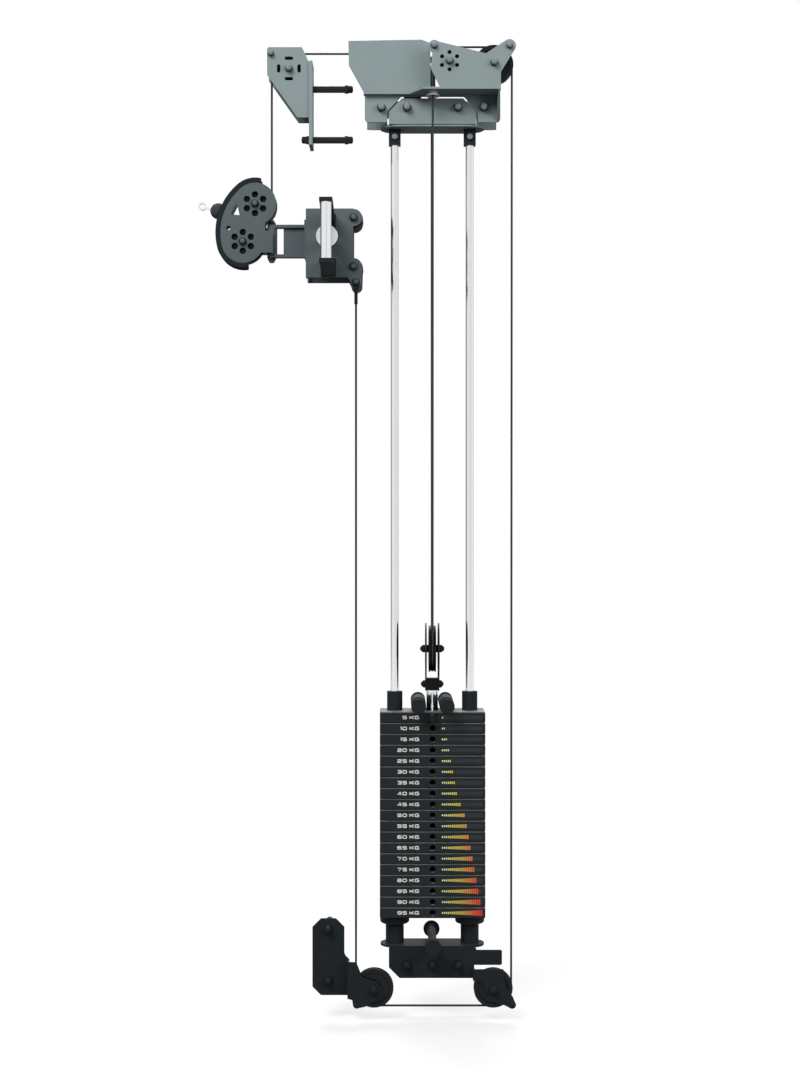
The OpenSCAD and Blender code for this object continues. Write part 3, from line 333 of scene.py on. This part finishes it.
dust, dust_in, dust_out = new_group(
    "settled_dust",
    (("Vector", VECTOR, None), ("Amount", FLOAT, 0.2)),
    (("Mask", FLOAT),),
)
facing = dust.nodes.new("ShaderNodeNewGeometry").outputs["Normal"]
upward = spread(dust, component(dust, facing, "Z"), 0.55, 1.0)
speckle = spread(dust, noise(dust, dust_in.outputs["Vector"], 55.0, 5), 0.3, 0.8, 0.35, 1.0)
lying = calc(dust, "MULTIPLY", calc(dust, "MULTIPLY", upward, speckle), dust_in.outputs["Amount"])
dust.links.new(lying, dust_out.inputs["Mask"])
print("groups:", [g.name for g in (skin, scuffs, dust)])

# %% [markdown]
# ## The finishes
# Powder coat is paint baked from dust: it has a faint orange-peel skin, a soft sheen and small
# differences in tone. Chrome is nearly a mirror, with faint marks along its length from drawing.
# Moulded pulleys have a faint sheen, rubber is dull. One function lays the shared effects in order,
# and each finish gives its own numbers.

# %% Mix the finishes
DUST_COLOUR = srgb(176, 176, 172)
FINISHES = {}


def place_group(tree, group, vector, **values):
    """A group node whose other inputs are given by name, as values or sockets."""
    node = tree.nodes.new("ShaderNodeGroup")
    node.node_tree = group
    tree.links.new(vector, node.inputs["Vector"])
    for label, value in values.items():
        feed(tree, node.inputs[label], value)
    return node


def make_finish(name, colour, roughness, grain=900.0, peel_depth=0.00004, mottle=0.08, metal=0.0,
                coat=0.0, worn_colour=None, wear=0.0, dusty=0.0, stretch=(1, 1, 1), specular=0.5):
    """One procedural finish: skin, scuffs and dust on the shader's own settings."""
    material, tree, out = node_material(name)
    shader = tree.nodes.new("ShaderNodeBsdfPrincipled")
    place = tree.nodes.new("ShaderNodeTexCoord").outputs["Object"]
    drawn_out = tree.nodes.new("ShaderNodeMapping")
    drawn_out.inputs["Scale"].default_value = stretch
    tree.links.new(place, drawn_out.inputs["Vector"])
    base = place_group(tree, skin, drawn_out.outputs[0], Colour=colour, Grain=grain, Mottle=mottle,
                       Roughness=roughness)
    shade = base.outputs["Colour"]
    if wear:
        marks = place_group(tree, scuffs, place, Amount=wear)
        shade = blend_colour(tree, marks.outputs["Mask"], shade, worn_colour)
    if dusty:
        lying_dust = place_group(tree, dust, place, Amount=dusty)
        shade = blend_colour(tree, lying_dust.outputs["Mask"], shade, DUST_COLOUR)
    tree.links.new(shade, shader.inputs["Base Color"])
    tree.links.new(base.outputs["Roughness"], shader.inputs["Roughness"])
    if peel_depth:
        bump = tree.nodes.new("ShaderNodeBump")
        bump.inputs["Distance"].default_value = peel_depth
        bump.inputs["Strength"].default_value = 0.6
        tree.links.new(base.outputs["Height"], bump.inputs["Height"])
        tree.links.new(bump.outputs[0], shader.inputs["Normal"])
    shader.inputs["Metallic"].default_value = metal
    shader.inputs["Specular IOR Level"].default_value = specular
    shader.inputs["Coat Weight"].default_value = coat
    shader.inputs["Coat Roughness"].default_value = 0.12
    tree.links.new(shader.outputs[0], out.inputs[0])
    FINISHES[name] = material
    return material


bracket_grey = make_finish("bracket_grey", srgb(135, 148, 149), 0.56, mottle=0.05, wear=0.14,
                           worn_colour=srgb(166, 176, 176), dusty=0.08, specular=0.05)
slate_paint = make_finish("slate_paint", srgb(91, 100, 103), 0.52, mottle=0.07, wear=0.16,
                          worn_colour=srgb(122, 132, 134), dusty=0.08, specular=0.06)
bracket_dark = make_finish("bracket_dark", srgb(42, 45, 49), 0.5, mottle=0.08, wear=0.16,
                           worn_colour=srgb(84, 88, 92), dusty=0.08, specular=0.06)
black_paint = make_finish("black_paint", srgb(38, 43, 46), 0.5, mottle=0.1, wear=0.16,
                          worn_colour=srgb(70, 75, 78), dusty=0.05, specular=0.05)
weight_black = make_finish("weight_black", srgb(35, 39, 41), 0.46, grain=520.0, mottle=0.12, wear=0.2,
                           worn_colour=srgb(72, 78, 80), dusty=0.8, peel_depth=0.00007, specular=0.14)
chrome = make_finish("chrome", srgb(238, 240, 242), 0.14, grain=500.0, peel_depth=0, mottle=0.04, metal=1.0,
                     stretch=(1, 1, 0.03))
satin_chrome = make_finish("satin_chrome", srgb(226, 229, 231), 0.3, grain=500.0, peel_depth=0, mottle=0.06,
                           metal=1.0)
bolt_dark = make_finish("bolt_dark", srgb(28, 30, 32), 0.4, grain=1400.0, mottle=0.15, metal=0.3,
                        wear=0.25, worn_colour=srgb(96, 98, 100), specular=0.3)
bolt_grey = make_finish("bolt_grey", srgb(120, 132, 134), 0.36, grain=1400.0, mottle=0.1, wear=0.15,
                        worn_colour=srgb(172, 180, 180), specular=0.45)
set_bolt = make_finish("set_bolt", srgb(126, 131, 133), 0.36, grain=1600.0, mottle=0.1, metal=0.4)
bearing_steel = make_finish("bearing_steel", srgb(120, 123, 126), 0.3, grain=1500.0, mottle=0.12,
                            metal=0.9)
pulley_black = make_finish("pulley_black", srgb(22, 25, 27), 0.34, grain=700.0, mottle=0.12, coat=0.08,
                           peel_depth=0.00002, specular=0.12)
rubber_black = make_finish("rubber_black", srgb(31, 34, 37), 0.75, grain=1200.0, mottle=0.14,
                           peel_depth=0.00008, dusty=0.12, specular=0.2)
cable_black = make_finish("cable_black", srgb(40, 44, 45), 0.35, grain=1300.0, mottle=0.1, coat=0.1,
                          peel_depth=0.00003, specular=0.3)
ball_rubber = make_finish("ball_rubber", srgb(56, 61, 63), 0.7, grain=1200.0, mottle=0.12,
                          peel_depth=0.00008, specular=0.2)
guide_grey = make_finish("guide_grey", srgb(178, 184, 184), 0.5, grain=800.0, mottle=0.06)
knob_black = make_finish("knob_black", srgb(24, 26, 28), 0.5, grain=900.0, mottle=0.1, specular=0.15)
figure_white = make_finish("figure_white", srgb(240, 241, 240), 0.55, grain=1800.0, mottle=0.05,
                           peel_depth=0.00002)
print("finishes:", len(FINISHES))

# %% [markdown]
# ## Finishes on the CAD pieces
# The imported record says which finish each CAD piece has. A table from those slots to the finishes
# dresses all of them, and a few pieces differ from their slot. The selector stem is polished only
# between the stack and its bracket, so its finish changes with the height on the piece itself. The
# weights' upper bevels get a painted highlight, a lighter grey for the light from above that they
# catch, which the slope of the surface picks out.

# %% Dress the CAD pieces
SLOT_FINISH = {
    "bracket_grey": bracket_grey, "slate_paint": slate_paint, "black_paint": black_paint,
    "weight_black": weight_black, "chrome_steel": chrome, "bolt_steel": bolt_dark,
    "pulley_black": pulley_black, "rubber_black": rubber_black, "cable_black": cable_black,
    "guide_grey": guide_grey, "knob_black": knob_black,
}
STEM_MIDDLE = 0.6165
STEM_POLISHED = 0.0233
STEM_EDGE = 0.0005
BEVEL_SLOPE = 0.707
# share of the painted highlight on the weights' upper bevels, a lighter grey for light from above
BEVEL_PAINTED_HIGHLIGHT = 0.2


def lay_over(tree, mask, colour):
    """Lays a colour over a finish's own where the mask is white."""
    shader = next(node for node in tree.nodes if node.type == "BSDF_PRINCIPLED")
    under = shader.inputs["Base Color"].links[0].from_socket
    tree.links.new(blend_colour(tree, mask, under, colour), shader.inputs["Base Color"])


def distance_along(tree, vector, axis, middle):
    """How far one of a vector's numbers is from a middle."""
    return calc(tree, "ABSOLUTE", calc(tree, "SUBTRACT", component(tree, vector, axis), middle))


stem_chrome = make_finish("stem_chrome", srgb(238, 240, 242), 0.14, grain=500.0, peel_depth=0, mottle=0.04,
                          metal=1.0)
stem_tree = stem_chrome.node_tree
stem_place = stem_tree.nodes.new("ShaderNodeTexCoord").outputs["Object"]
from_middle = distance_along(stem_tree, stem_place, "Z", STEM_MIDDLE)
blackened = spread(stem_tree, from_middle, STEM_POLISHED, STEM_POLISHED + STEM_EDGE)
lay_over(stem_tree, blackened, srgb(26, 28, 30))
# Painted highlight: the weights' upper bevels are lightened as if lit from above, picked out by their slope.
weight_tree = weight_black.node_tree
weight_facing = weight_tree.nodes.new("ShaderNodeNewGeometry").outputs["Normal"]
off_bevel = distance_along(weight_tree, weight_facing, "Z", BEVEL_SLOPE)
painted_bevel_highlight = spread(weight_tree, off_bevel, 0.06, 0.16, BEVEL_PAINTED_HIGHLIGHT, 0.0)
lay_over(weight_tree, painted_bevel_highlight, srgb(122, 127, 130))
OWN_FINISH = {"inner_pulley_bracket": bracket_dark, "pop_pin": satin_chrome, "selector_stem": stem_chrome,
              "floating_bracket": black_paint, "ball_stop": ball_rubber}
node_slot = {row["node"]: row["material_slot"] for row in frame["record"]["subparts"]}
for node, piece in frame["nodes"].items():
    finish = OWN_FINISH.get(node, SLOT_FINISH[node_slot[node]])
    piece.data.materials.clear()
    piece.data.materials.append(finish)
print("dressed:", len(node_slot))

# %% [markdown]
# ## Turned details
# Domed bolt ends, bearing seals and hole caps are all turned shapes. One side of each is drawn as a
# short line and spun about its axis, which is quicker than cutting a cylinder and closes by itself.
# Spinning leaves the faces in an order that differs from run to run, so they are sorted by their
# place along a slanted line.

# %% Write the lathe and the gatherer
SLANTED_LINE = Vector((1.0, 31.7, 977.3))


def aim_matrix(centre, axis):
    """Turns the upward direction to an axis, and moves it to a centre in millimetres."""
    turn = Vector((0, 0, 1)).rotation_difference(Vector(axis)).to_matrix().to_4x4()
    return Matrix.Translation(Vector(centre) * MM) @ turn @ Matrix.Diagonal((MM, MM, MM, 1))


def lathe(profile, centre, axis, steps=32):
    """Spins (radius, height) points, in millimetres, about an axis."""
    part = bmesh.new()
    line = [part.verts.new((radius, 0, height)) for radius, height in profile]
    edges = [part.edges.new(pair) for pair in zip(line, line[1:])]
    bmesh.ops.spin(part, geom=line + edges, cent=(0, 0, 0), axis=(0, 0, 1), steps=steps,
                   angle=math.tau, use_merge=True)
    bmesh.ops.remove_doubles(part, verts=part.verts, dist=1e-4)
    part.verts.sort(key=lambda vert: vert.co.dot(SLANTED_LINE))
    part.faces.sort(key=lambda face: face.calc_center_median().dot(SLANTED_LINE))
    bmesh.ops.transform(part, matrix=aim_matrix(centre, axis), verts=part.verts)
    return part


def gather(name, parts, finishes, body, sharp=35):
    """Joins parts into one piece that rides on a body."""
    mesh = bpy.data.meshes.new(name)
    whole = bmesh.new()
    for part in parts:
        part.to_mesh(mesh)
        part.free()
        whole.from_mesh(mesh)
    bmesh.ops.recalc_face_normals(whole, faces=whole.faces)
    for face in whole.faces:
        face.smooth = True
    for edge in whole.edges:
        edge.smooth = edge.calc_face_angle(0.0) < math.radians(sharp)
    whole.to_mesh(mesh)
    whole.free()
    for finish in finishes:
        mesh.materials.append(finish)
    piece = bpy.data.objects.new(name, mesh)
    bpy.context.scene.collection.objects.link(piece)
    if body:
        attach(piece, body)
    return piece


# %% [markdown]
# ## Bolt ends
# In the photograph each bolt ends in a round nose over a dark washer. The bolts' heads are in the
# solids, so only the nose is added, on both ends, in the paint of the plate that it clamps. The heavy
# bolts have a long nose, the trolley's and the head's a low dome inside a wider ring.

# %% Add the bolt ends
LONG_NOSE = ((1.0, -0.45), (1.0, 0.4), (0.95, 0.6), (0.78, 0.77), (0.44, 0.87), (0.0, 0.9))
LOW_DOME = ((1.0, -0.1), (1.0, 0.25), (0.93, 0.42), (0.7, 0.56), (0.35, 0.64), (0.0, 0.66))


def noses(profile, spans):
    """Turned ends for bolts: (centre of one end, centre of the other, radius) in millimetres."""
    made = []
    for first, last, radius in spans:
        way = (Vector(last) - Vector(first)).normalized()
        for centre, axis in ((first, -way), (last, way)):
            made.append(lathe([(r * radius, h * radius) for r, h in profile], centre, axis, 24))
    return made


def across(x, z, front, back, radius):
    """A bolt along Y, from its front end to its back end, and its nose's radius."""
    return ((x, front, z), (x, back, z), radius)


YAW = math.radians(28)
yaw_along = Vector((math.cos(YAW), math.sin(YAW), 0))
yaw_out = Vector((-math.sin(YAW), math.cos(YAW), 0))
inner_hub = Vector((-37.35, 53.23, 2105))
inner_stud = inner_hub + 31 * yaw_along + Vector((0, 0, 42.3))
grey_bolts = [across(x, 2010, -55, 55, 8.1) for x in (-120, -60, 60, 120)]
grey_bolts += [across(-337.7, 2105, -41, 41, 7.6), across(-380.2, 2140.2, -39, 39, 6.2)]
grey_bolts += [across(38.2, 2104, -116, -60.1, 7.6), across(141.5, 2099.9, -116, -60.1, 7.6)]
grey_bolts += [across(x, 2139, -113, -64.5, 6.2) for x in (3, 177)]
gather("bracket_bolt_ends", noses(LONG_NOSE, grey_bolts), [bolt_grey], "frame")

black_bolts = [across(x, 0, -55, 55, 7.6) for x in (-60, 0, 60)]
black_bolts += [across(-244.3, z, -55, 49.5, 7.6) for z in (84, -36)]
black_bolts += [((-302.3, 0, z), (-194.8, 0, z), 8.4) for z in (2063, 1943)]
black_bolts += [across(x, -51.5, -79, -32.1, 7.4) for x in (141.5, -137)]
black_bolts += [across(185.2, -88.2, -74, -38.5, 4.6), across(-177.1, -87.9, -74, -38.5, 4.6)]
black_bolts.append((tuple(inner_hub - 25.5 * yaw_out), tuple(inner_hub + 19.9 * yaw_out), 7.4))
black_bolts.append((tuple(inner_stud - 22.5 * yaw_out), tuple(inner_stud + 15.5 * yaw_out), 6.4))
POST_TOP, POST_RADIUS, POST_RISE = (-148, 42.3, 2164.7), 8.6, 1.8
post_end = lathe([(r * POST_RADIUS, h * POST_RISE) for r, h in LOW_DOME], POST_TOP, (0, 0, 1), 24)
gather("black_bolt_ends", [post_end] + noses(LONG_NOSE, black_bolts), [black_paint], "frame")

SET_SCREW = ((7.3, -4.8), (7.3, 0.4), (6.8, 1.8), (5.0, 2.9), (2.4, 3.3), (0.0, 3.4))
set_screws = [lathe(SET_SCREW, (x, -19.1, 1948), (0, -1, 0), 24) for x in (-88.75, 88.75)]
gather("clamp_screw_ends", set_screws, [set_bolt], "frame")

trolley_bolts = [across(-185, z, -61, 61, 6.2) for z in (1636, 1751)]
trolley_bolts += [((-380, 0, 1656), (-380, 0, 1749), 6.8), across(-179.3, 1600, -61.3, -38.7, 5.4)]
gather("trolley_bolt_ends", noses(LOW_DOME, trolley_bolts), [slate_paint], "trolley")

HEAD_HUBS = ((-418.2, 1788.6), (-447.0, 1699.6))
head_bolts = [across(x, z, -31.5, 31.5, 6.2) for x, z in HEAD_HUBS]
gather("head_bolt_ends", noses(LOW_DOME, head_bolts), [slate_paint], "swivel_head")

FLOAT_Z = 738.4
lift_bolts = [((-25.6, 0, FLOAT_Z), (25.6, 0, FLOAT_Z), 5.2), ((-23.6, 0, 654.8), (23.6, 0, 654.8), 5.2)]
gather("lift_bolt_ends", noses(LOW_DOME, lift_bolts), [bolt_dark], "lift")
print("bolts:", len(grey_bolts) + len(black_bolts) + len(trolley_bolts) + len(head_bolts) + len(lift_bolts))

# %% [markdown]
# ## Bearing seals
# A moulded pulley runs on a ball bearing, whose steel ring shows round the axle on each side. The
# ring is a thin turned band, a quarter of a millimetre proud of the pulley's hub, so that it shows
# and still clears the spacers.

# %% Add the bearing seals
SEAL = ((9.6, -0.4), (9.6, 0.1), (10.2, 0.25), (12.0, 0.25), (12.6, 0.1), (12.6, -0.4), (9.6, -0.4))
PULLEYS = {  # hub centre and axle direction, and half the pulley's width
    "top_front_pulley": ((-337.7, 0, 2105), (0, 1, 0), 8.5),
    "turn_pulley": ((-148, 42.3, 2147.3), (0, 0, 1), 11.0),
    "inner_pulley": (tuple(inner_hub), tuple(yaw_out), 8.5),
    "outer_pulley": ((38.2, -80, 2104), (0, 1, 0), 8.5),
    "rear_top_pulley": ((141.5, -80, 2099.9), (0, 1, 0), 8.5),
    "rear_bottom_pulley": ((141.5, -52, -51.5), (0, 1, 0), 8.5),
    "front_bottom_pulley": ((-137, -52, -51.5), (0, 1, 0), 8.5),
    "floating_pulley": ((0, 0, FLOAT_Z), (1, 0, 0), 8.5),
    "head_upper_pulley": ((-418.2, 0, 1788.6), (0, 1, 0), 8.5),
    "head_lower_pulley": ((-447.0, 0, 1699.6), (0, 1, 0), 8.5),
}
for name, (centre, axis, half) in PULLEYS.items():
    rings = []
    for side in (-1, 1):
        out_way = Vector(axis) * side
        rings.append(lathe(SEAL, Vector(centre) + out_way * half, out_way, 40))
    gather(name.replace("pulley", "bearing_seals"), rings, [bearing_steel], name)
print("pulleys with seals:", len(PULLEYS))

# %% [markdown]
# ## Figures on the weight plates
# Each plate carries its load in wide, squarish white figures. A font has no such shapes, so each
# character is a few strokes on a box one unit wide and high, like a signwriter's stencil. The strokes
# become round bars, which are pressed nearly flat and laid on the plate's face. Both faces carry
# them, turned round for the far one.

# %% Print the figures
PLATE_PITCH = 25.4
STACK_BOTTOM, HALF_PLATE = 110, 12.65
HEAD_PLATE_GAP = 0.3
HEAD_LOADS, STACK_LOADS = (5,), range(10, 100, 5)
FACE_Y = 52.0
FIGURE_RIGHT = -31.2
FIGURE_HEIGHT = 6.3
FIGURE_WIDTH = 8.7
STROKE = 2.15
CHARACTER_GAP = 1.3
WORD_GAP = 4.4
PRESSED = 0.12
ROWS = 19
LOOP = ((0.18, 0), (0.82, 0), (1, 0.25), (1, 0.75), (0.82, 1), (0.18, 1), (0, 0.75), (0, 0.25), (0.18, 0))
STROKES = {
    "0": (LOOP,),
    "1": (((0, 1), (0.26, 1), (0.26, 0)),),
    "2": (((0, 1), (0.86, 1), (1, 0.8), (1, 0.66), (0.86, 0.5), (0.14, 0.46), (0, 0.3), (0, 0), (1, 0)),),
    "3": (((0, 1), (0.86, 1), (1, 0.8), (1, 0.66), (0.86, 0.5), (0.3, 0.5)),
          ((0.86, 0.5), (1, 0.36), (1, 0.2), (0.86, 0), (0, 0))),
    "4": (((1, 0.25), (0, 0.25), (0.62, 1), (0.78, 1), (0.78, 0)),),
    "5": (((1, 1), (0, 1), (0, 0.54), (0.86, 0.54), (1, 0.4), (1, 0.2), (0.86, 0), (0, 0)),),
    "6": (((0.95, 1), (0.16, 1), (0, 0.78), (0, 0.2), (0.16, 0), (0.86, 0), (1, 0.2), (1, 0.36), (0.86, 0.54),
           (0, 0.54)),),
    "7": (((0, 1), (1, 1), (0.4, 0)),),
    "8": (LOOP, ((0, 0.5), (1, 0.5))),
    "9": (((0.05, 0), (0.84, 0), (1, 0.2), (1, 0.8), (0.84, 1), (0.14, 1), (0, 0.8), (0, 0.62), (0.14, 0.46),
           (1, 0.46)),),
    "K": (((0, 0), (0, 1)), ((1, 1), (0.34, 0.5), (0, 0.5)), ((0.34, 0.5), (1, 0))),
    "G": (((1, 1), (0.16, 1), (0, 0.78), (0, 0.2), (0.16, 0), (1, 0), (1, 0.46), (0.5, 0.46)),),
}


def row_height(load):
    """The height of the middle of the plate that brings the stack to that load."""
    gap = HEAD_PLATE_GAP if load in HEAD_LOADS else 0.0
    return STACK_BOTTOM + HALF_PLATE + (ROWS - load // 5) * PLATE_PITCH + gap


def round_bars(lines, radius, roundness):
    """Round bars along lines of points. A line that ends where it starts is closed."""
    curve = bpy.data.curves.new("lines", "CURVE")
    curve.dimensions = "3D"
    curve.bevel_depth = radius
    curve.bevel_resolution = roundness
    curve.use_fill_caps = True
    for points in lines:
        spline = curve.splines.new("POLY")
        spline.use_cyclic_u = points[0] == points[-1]
        knots = points[:-1] if spline.use_cyclic_u else points
        spline.points.add(len(knots) - 1)
        for knot, point in zip(spline.points, knots):
            knot.co = (*point, 1)
    holder = bpy.data.objects.new("lines", curve)
    bpy.context.scene.collection.objects.link(holder)
    graph = bpy.context.evaluated_depsgraph_get()
    mesh = bpy.data.meshes.new_from_object(holder.evaluated_get(graph))
    part = bmesh.new()
    part.from_mesh(mesh)
    bpy.data.objects.remove(holder)
    bpy.data.meshes.remove(mesh)
    bmesh.ops.remove_doubles(part, verts=part.verts, dist=radius * 1e-4)
    return part


def letters(text):
    """A text in strokes, in millimetres, with its right end and its middle at zero."""
    lines = []
    right = -STROKE / 2
    for character in reversed(text):
        if character == " ":
            right -= WORD_GAP
            continue
        wide = FIGURE_WIDTH * max(x for stroke in STROKES[character] for x, _ in stroke)
        for stroke in STROKES[character]:
            lines.append([(right - wide + x * FIGURE_WIDTH, (y - 0.5) * FIGURE_HEIGHT, 0) for x, y in stroke])
        right -= wide + STROKE + CHARACTER_GAP
    return round_bars(lines, STROKE / 2, 1)


def lay_on_face(part, side, z):
    """Presses a text nearly flat and stands it on the plate's face, seen from outside."""
    press = Matrix.Diagonal((1, 1, PRESSED, 1))
    push = Matrix.Translation((FIGURE_RIGHT, 0, 0))
    stand = Matrix.Rotation(math.radians(90), 4, "X")
    away = Matrix.Translation((0, -FACE_Y, z))
    turn = Matrix.Rotation(0.0 if side < 0 else math.pi, 4, "Z")
    small = Matrix.Diagonal((MM, MM, MM, 1))
    bmesh.ops.transform(part, matrix=small @ turn @ away @ stand @ push @ press, verts=part.verts)
    return part


def figures(loads):
    """Both faces' figures for those loads."""
    return [lay_on_face(letters(f"{load} KG"), side, row_height(load)) for load in loads for side in (-1, 1)]


gather("stack_figures", figures(STACK_LOADS), [figure_white], "frame")
gather("head_plate_figures", figures(HEAD_LOADS), [figure_white], "lift")
print("figures on", ROWS, "plates")

# %% [markdown]
# ## The load bars
# Beside the pin hole each plate has a row of small bars that grows with the load, green for light and
# red for heavy. They could be one printed strip, but separate slim blocks give each bar its edges.
# The colour comes from the distance to the pin hole, so one finish serves them all, and the bars that
# a plate leaves unlit are faint.

# %% Print the bars
BAR_PITCH = 4.57
BAR_FIRST = 23.0
BAR_WIDTHS = (2.5, 3.9)
BAR_COUNT = 21
BAR_PROUD, BAR_SUNK = 0.15, 0.075
BAR_LOWEST, BAR_GROWTH, BAR_CURVE = 4.2, 9.6, 1.3
FAINT_HEIGHT = 9.0
COLOURS_START, COLOURS_END = 0.018, 0.120

bar_material, bar_tree, bar_out = node_material("bar_colours")
bar_shader = bar_tree.nodes.new("ShaderNodeBsdfPrincipled")
bar_place = bar_tree.nodes.new("ShaderNodeTexCoord").outputs["Object"]
from_pin = distance_along(bar_tree, bar_place, "X", 0.0)
bar_share = spread(bar_tree, from_pin, COLOURS_START, COLOURS_END, kind="LINEAR")
ramp = bar_tree.nodes.new("ShaderNodeValToRGB")
stops = ((0.0, srgb(246, 252, 204)), (0.25, srgb(226, 228, 108)), (0.48, srgb(220, 184, 82)),
         (0.66, srgb(226, 136, 68)), (0.82, srgb(226, 82, 56)), (1.0, srgb(224, 34, 40)))
while len(ramp.color_ramp.elements) < len(stops):
    ramp.color_ramp.elements.new(0.5)
for element, (position, colour) in zip(ramp.color_ramp.elements, stops):
    element.position = position
    element.color = colour
bar_tree.links.new(bar_share, ramp.inputs[0])
bar_print = place_group(bar_tree, skin, bar_place, Colour=ramp.outputs[0], Grain=1800.0, Mottle=0.06,
                        Roughness=0.5)
bar_tree.links.new(bar_print.outputs["Colour"], bar_shader.inputs["Base Color"])
bar_tree.links.new(bar_print.outputs["Roughness"], bar_shader.inputs["Roughness"])
bar_tree.links.new(bar_shader.outputs[0], bar_out.inputs[0])
bar_faint = make_finish("bar_faint", srgb(44, 48, 51), 0.5, grain=1500.0, mottle=0.06, specular=0.3)


def bars_lit(load):
    """How many bars a plate has lit."""
    if load <= 40:
        return load // 5
    return 10 if load == 45 else load // 5 + 2


def bar(load, side, index):
    """One bar on one face of a plate. A lit bar uses the first finish, a faint one the second."""
    lit = index < bars_lit(load)
    share = index / (BAR_COUNT - 1)
    width = BAR_WIDTHS[0] + (BAR_WIDTHS[1] - BAR_WIDTHS[0]) * share
    height = BAR_LOWEST + BAR_GROWTH * share ** BAR_CURVE if lit else FAINT_HEIGHT
    x = -side * (BAR_FIRST + index * BAR_PITCH)
    centre = Vector((x, side * (FACE_Y + (BAR_PROUD - BAR_SUNK) / 2), row_height(load)))
    size = Matrix.Diagonal((width * MM, (BAR_PROUD + BAR_SUNK) * MM, height * MM, 1))
    part = bmesh.new()
    bmesh.ops.create_cube(part, size=1)
    bmesh.ops.transform(part, matrix=Matrix.Translation(centre * MM) @ size, verts=part.verts)
    for face in part.faces:
        face.material_index = 0 if lit else 1
    return part


def bars(loads):
    """Both faces' bars for those loads."""
    return [bar(load, side, index) for load in loads for side in (-1, 1) for index in range(BAR_COUNT)]


gather("stack_bars", bars(STACK_LOADS), [bar_material, bar_faint], "frame")
gather("head_plate_bars", bars(HEAD_LOADS), [bar_material, bar_faint], "lift")
print("bars a row:", BAR_COUNT)

# %% [markdown]
# ## Caps behind the pin holes
# The selector pin goes in from the front only, and from there the holes look black, because a cap
# closes each one at the back of its plate. A cap is a turned, slightly dished disc a little inside the
# hole's mouth.

# %% Close the pin holes
CAP = ((0.0, -5.0), (6.9, -5.0), (6.9, -0.6), (6.3, -0.2), (5.2, -0.5), (2.0, -1.2), (0.0, -1.3))


def caps(loads):
    """A cap at the back of each of those plates."""
    return [lathe(CAP, (0, FACE_Y, row_height(load)), (0, 1, 0), 28) for load in loads]


gather("stack_hole_caps", caps(STACK_LOADS), [rubber_black], "frame")
gather("head_plate_hole_cap", caps(HEAD_LOADS), [rubber_black], "lift")
print("caps:", ROWS)

# %% [markdown]
# ## The guard's round edge
# The guard round the swivel head is moulded rubber with a full, rounded rim. Its solid has square
# edges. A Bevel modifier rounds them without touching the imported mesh, once a Weld and a flat-face
# Decimate have turned the loose triangles back into clean faces.

# %% Round the guard band
WELD_REACH = 0.00001
FLAT_ANGLE = math.radians(0.5)
RIM_RADIUS = 0.0024
RIM_ANGLE = math.radians(40)
guard = frame["nodes"]["guard_band"]
join = guard.modifiers.new("join_triangles", "WELD")
join.merge_threshold = WELD_REACH
clean = guard.modifiers.new("clean_faces", "DECIMATE")
clean.decimate_type = "DISSOLVE"
clean.angle_limit = FLAT_ANGLE
round_rim = guard.modifiers.new("round_rim", "BEVEL")
round_rim.width = RIM_RADIUS
round_rim.segments = 4
round_rim.limit_method = "ANGLE"
round_rim.angle_limit = RIM_ANGLE
print("guard faces:", len(guard.data.polygons))

# %% [markdown]
# ## Cable runs that change length
# The cable is one line from the trolley's clevis to the ball stop, but its straight runs grow and
# shrink as the trolley and the stack move. Each of these is a curve with a round section, made a
# mesh, which stands in the CAD run's place while that run is hidden. The stub in the head is made the same
# way.

# %% Run the cable
CABLE_RADIUS = 2.5


def cable(name, points, body_a, body_b, start, end, node):
    """A tube through points in millimetres, in place of a hidden CAD run. The bodies and ends given are not
    used.
    """
    line = [tuple(Vector(point) * MM) for point in points]
    tube = round_bars([line], CABLE_RADIUS * MM, 4)
    piece = gather(name, [tube], [cable_black], None, sharp=60)
    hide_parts(node)
    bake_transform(piece)


def straight(first, last, count=6):
    """Points evenly along a line."""
    a, b = Vector(first), Vector(last)
    return [tuple(a.lerp(b, i / count)) for i in range(count + 1)]


front_run = ((-380, 0, 2105), (-380, 0, 1788.6))
lower_run = ((-179.3, -52, -51.5), (-179.3, -52, 1549))
rear_fall_low, rear_fall_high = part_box("cable_rear_fall")
front_fall_low, front_fall_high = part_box("cable_front_fall")
cable("front_run", straight(*front_run), "frame", "trolley", *front_run, "cable_front_run")
cable("lower_run", straight(*lower_run), "frame", "trolley", *lower_run, "cable_lower_run")


def leaning_run(low, high, side):
    """The two ends of a fall from its box: upper end out to its side, lower end nearer the middle."""
    outer = (high.y if side > 0 else low.y) / MM - side * CABLE_RADIUS
    inner = (low.y if side > 0 else high.y) / MM + side * CABLE_RADIUS
    return (0, outer, high.z / MM), (0, inner, low.z / MM)


rear_fall = leaning_run(rear_fall_low, rear_fall_high, 1)
front_fall = leaning_run(front_fall_low, front_fall_high, -1)
cable("rear_fall", straight(*rear_fall), "frame", "lift", *rear_fall, "cable_rear_fall")
cable("front_fall", straight(*front_fall), "frame", "lift", *front_fall, "cable_front_fall")

EXIT_RISE = math.radians(16.3)
WRAP_ANGLE = math.radians(106.3)
WRAP_STEPS = 16
SHEAVE = 38.2
BALL_SKIN = 16
exit_way = Vector((-math.cos(EXIT_RISE), 0, math.sin(EXIT_RISE)))
upper_hub = Vector(PULLEYS["head_upper_pulley"][0])
turns = [-WRAP_ANGLE * i / WRAP_STEPS for i in range(WRAP_STEPS + 1)]
wrap = [tuple(upper_hub + SHEAVE * Vector((math.cos(a), 0, math.sin(a)))) for a in turns]
cable_out = Vector(wrap[-1])
ball = Vector((-506.74, 0, 1774.69))
head_line = wrap + straight(cable_out + exit_way, ball - (BALL_SKIN - 1) * exit_way, 5)
cable("head_cable", head_line, "swivel_head", "pull_end", tuple(cable_out),
      tuple(ball - BALL_SKIN * exit_way), "cable_in_head")
print("points along the head's cable:", len(head_line))
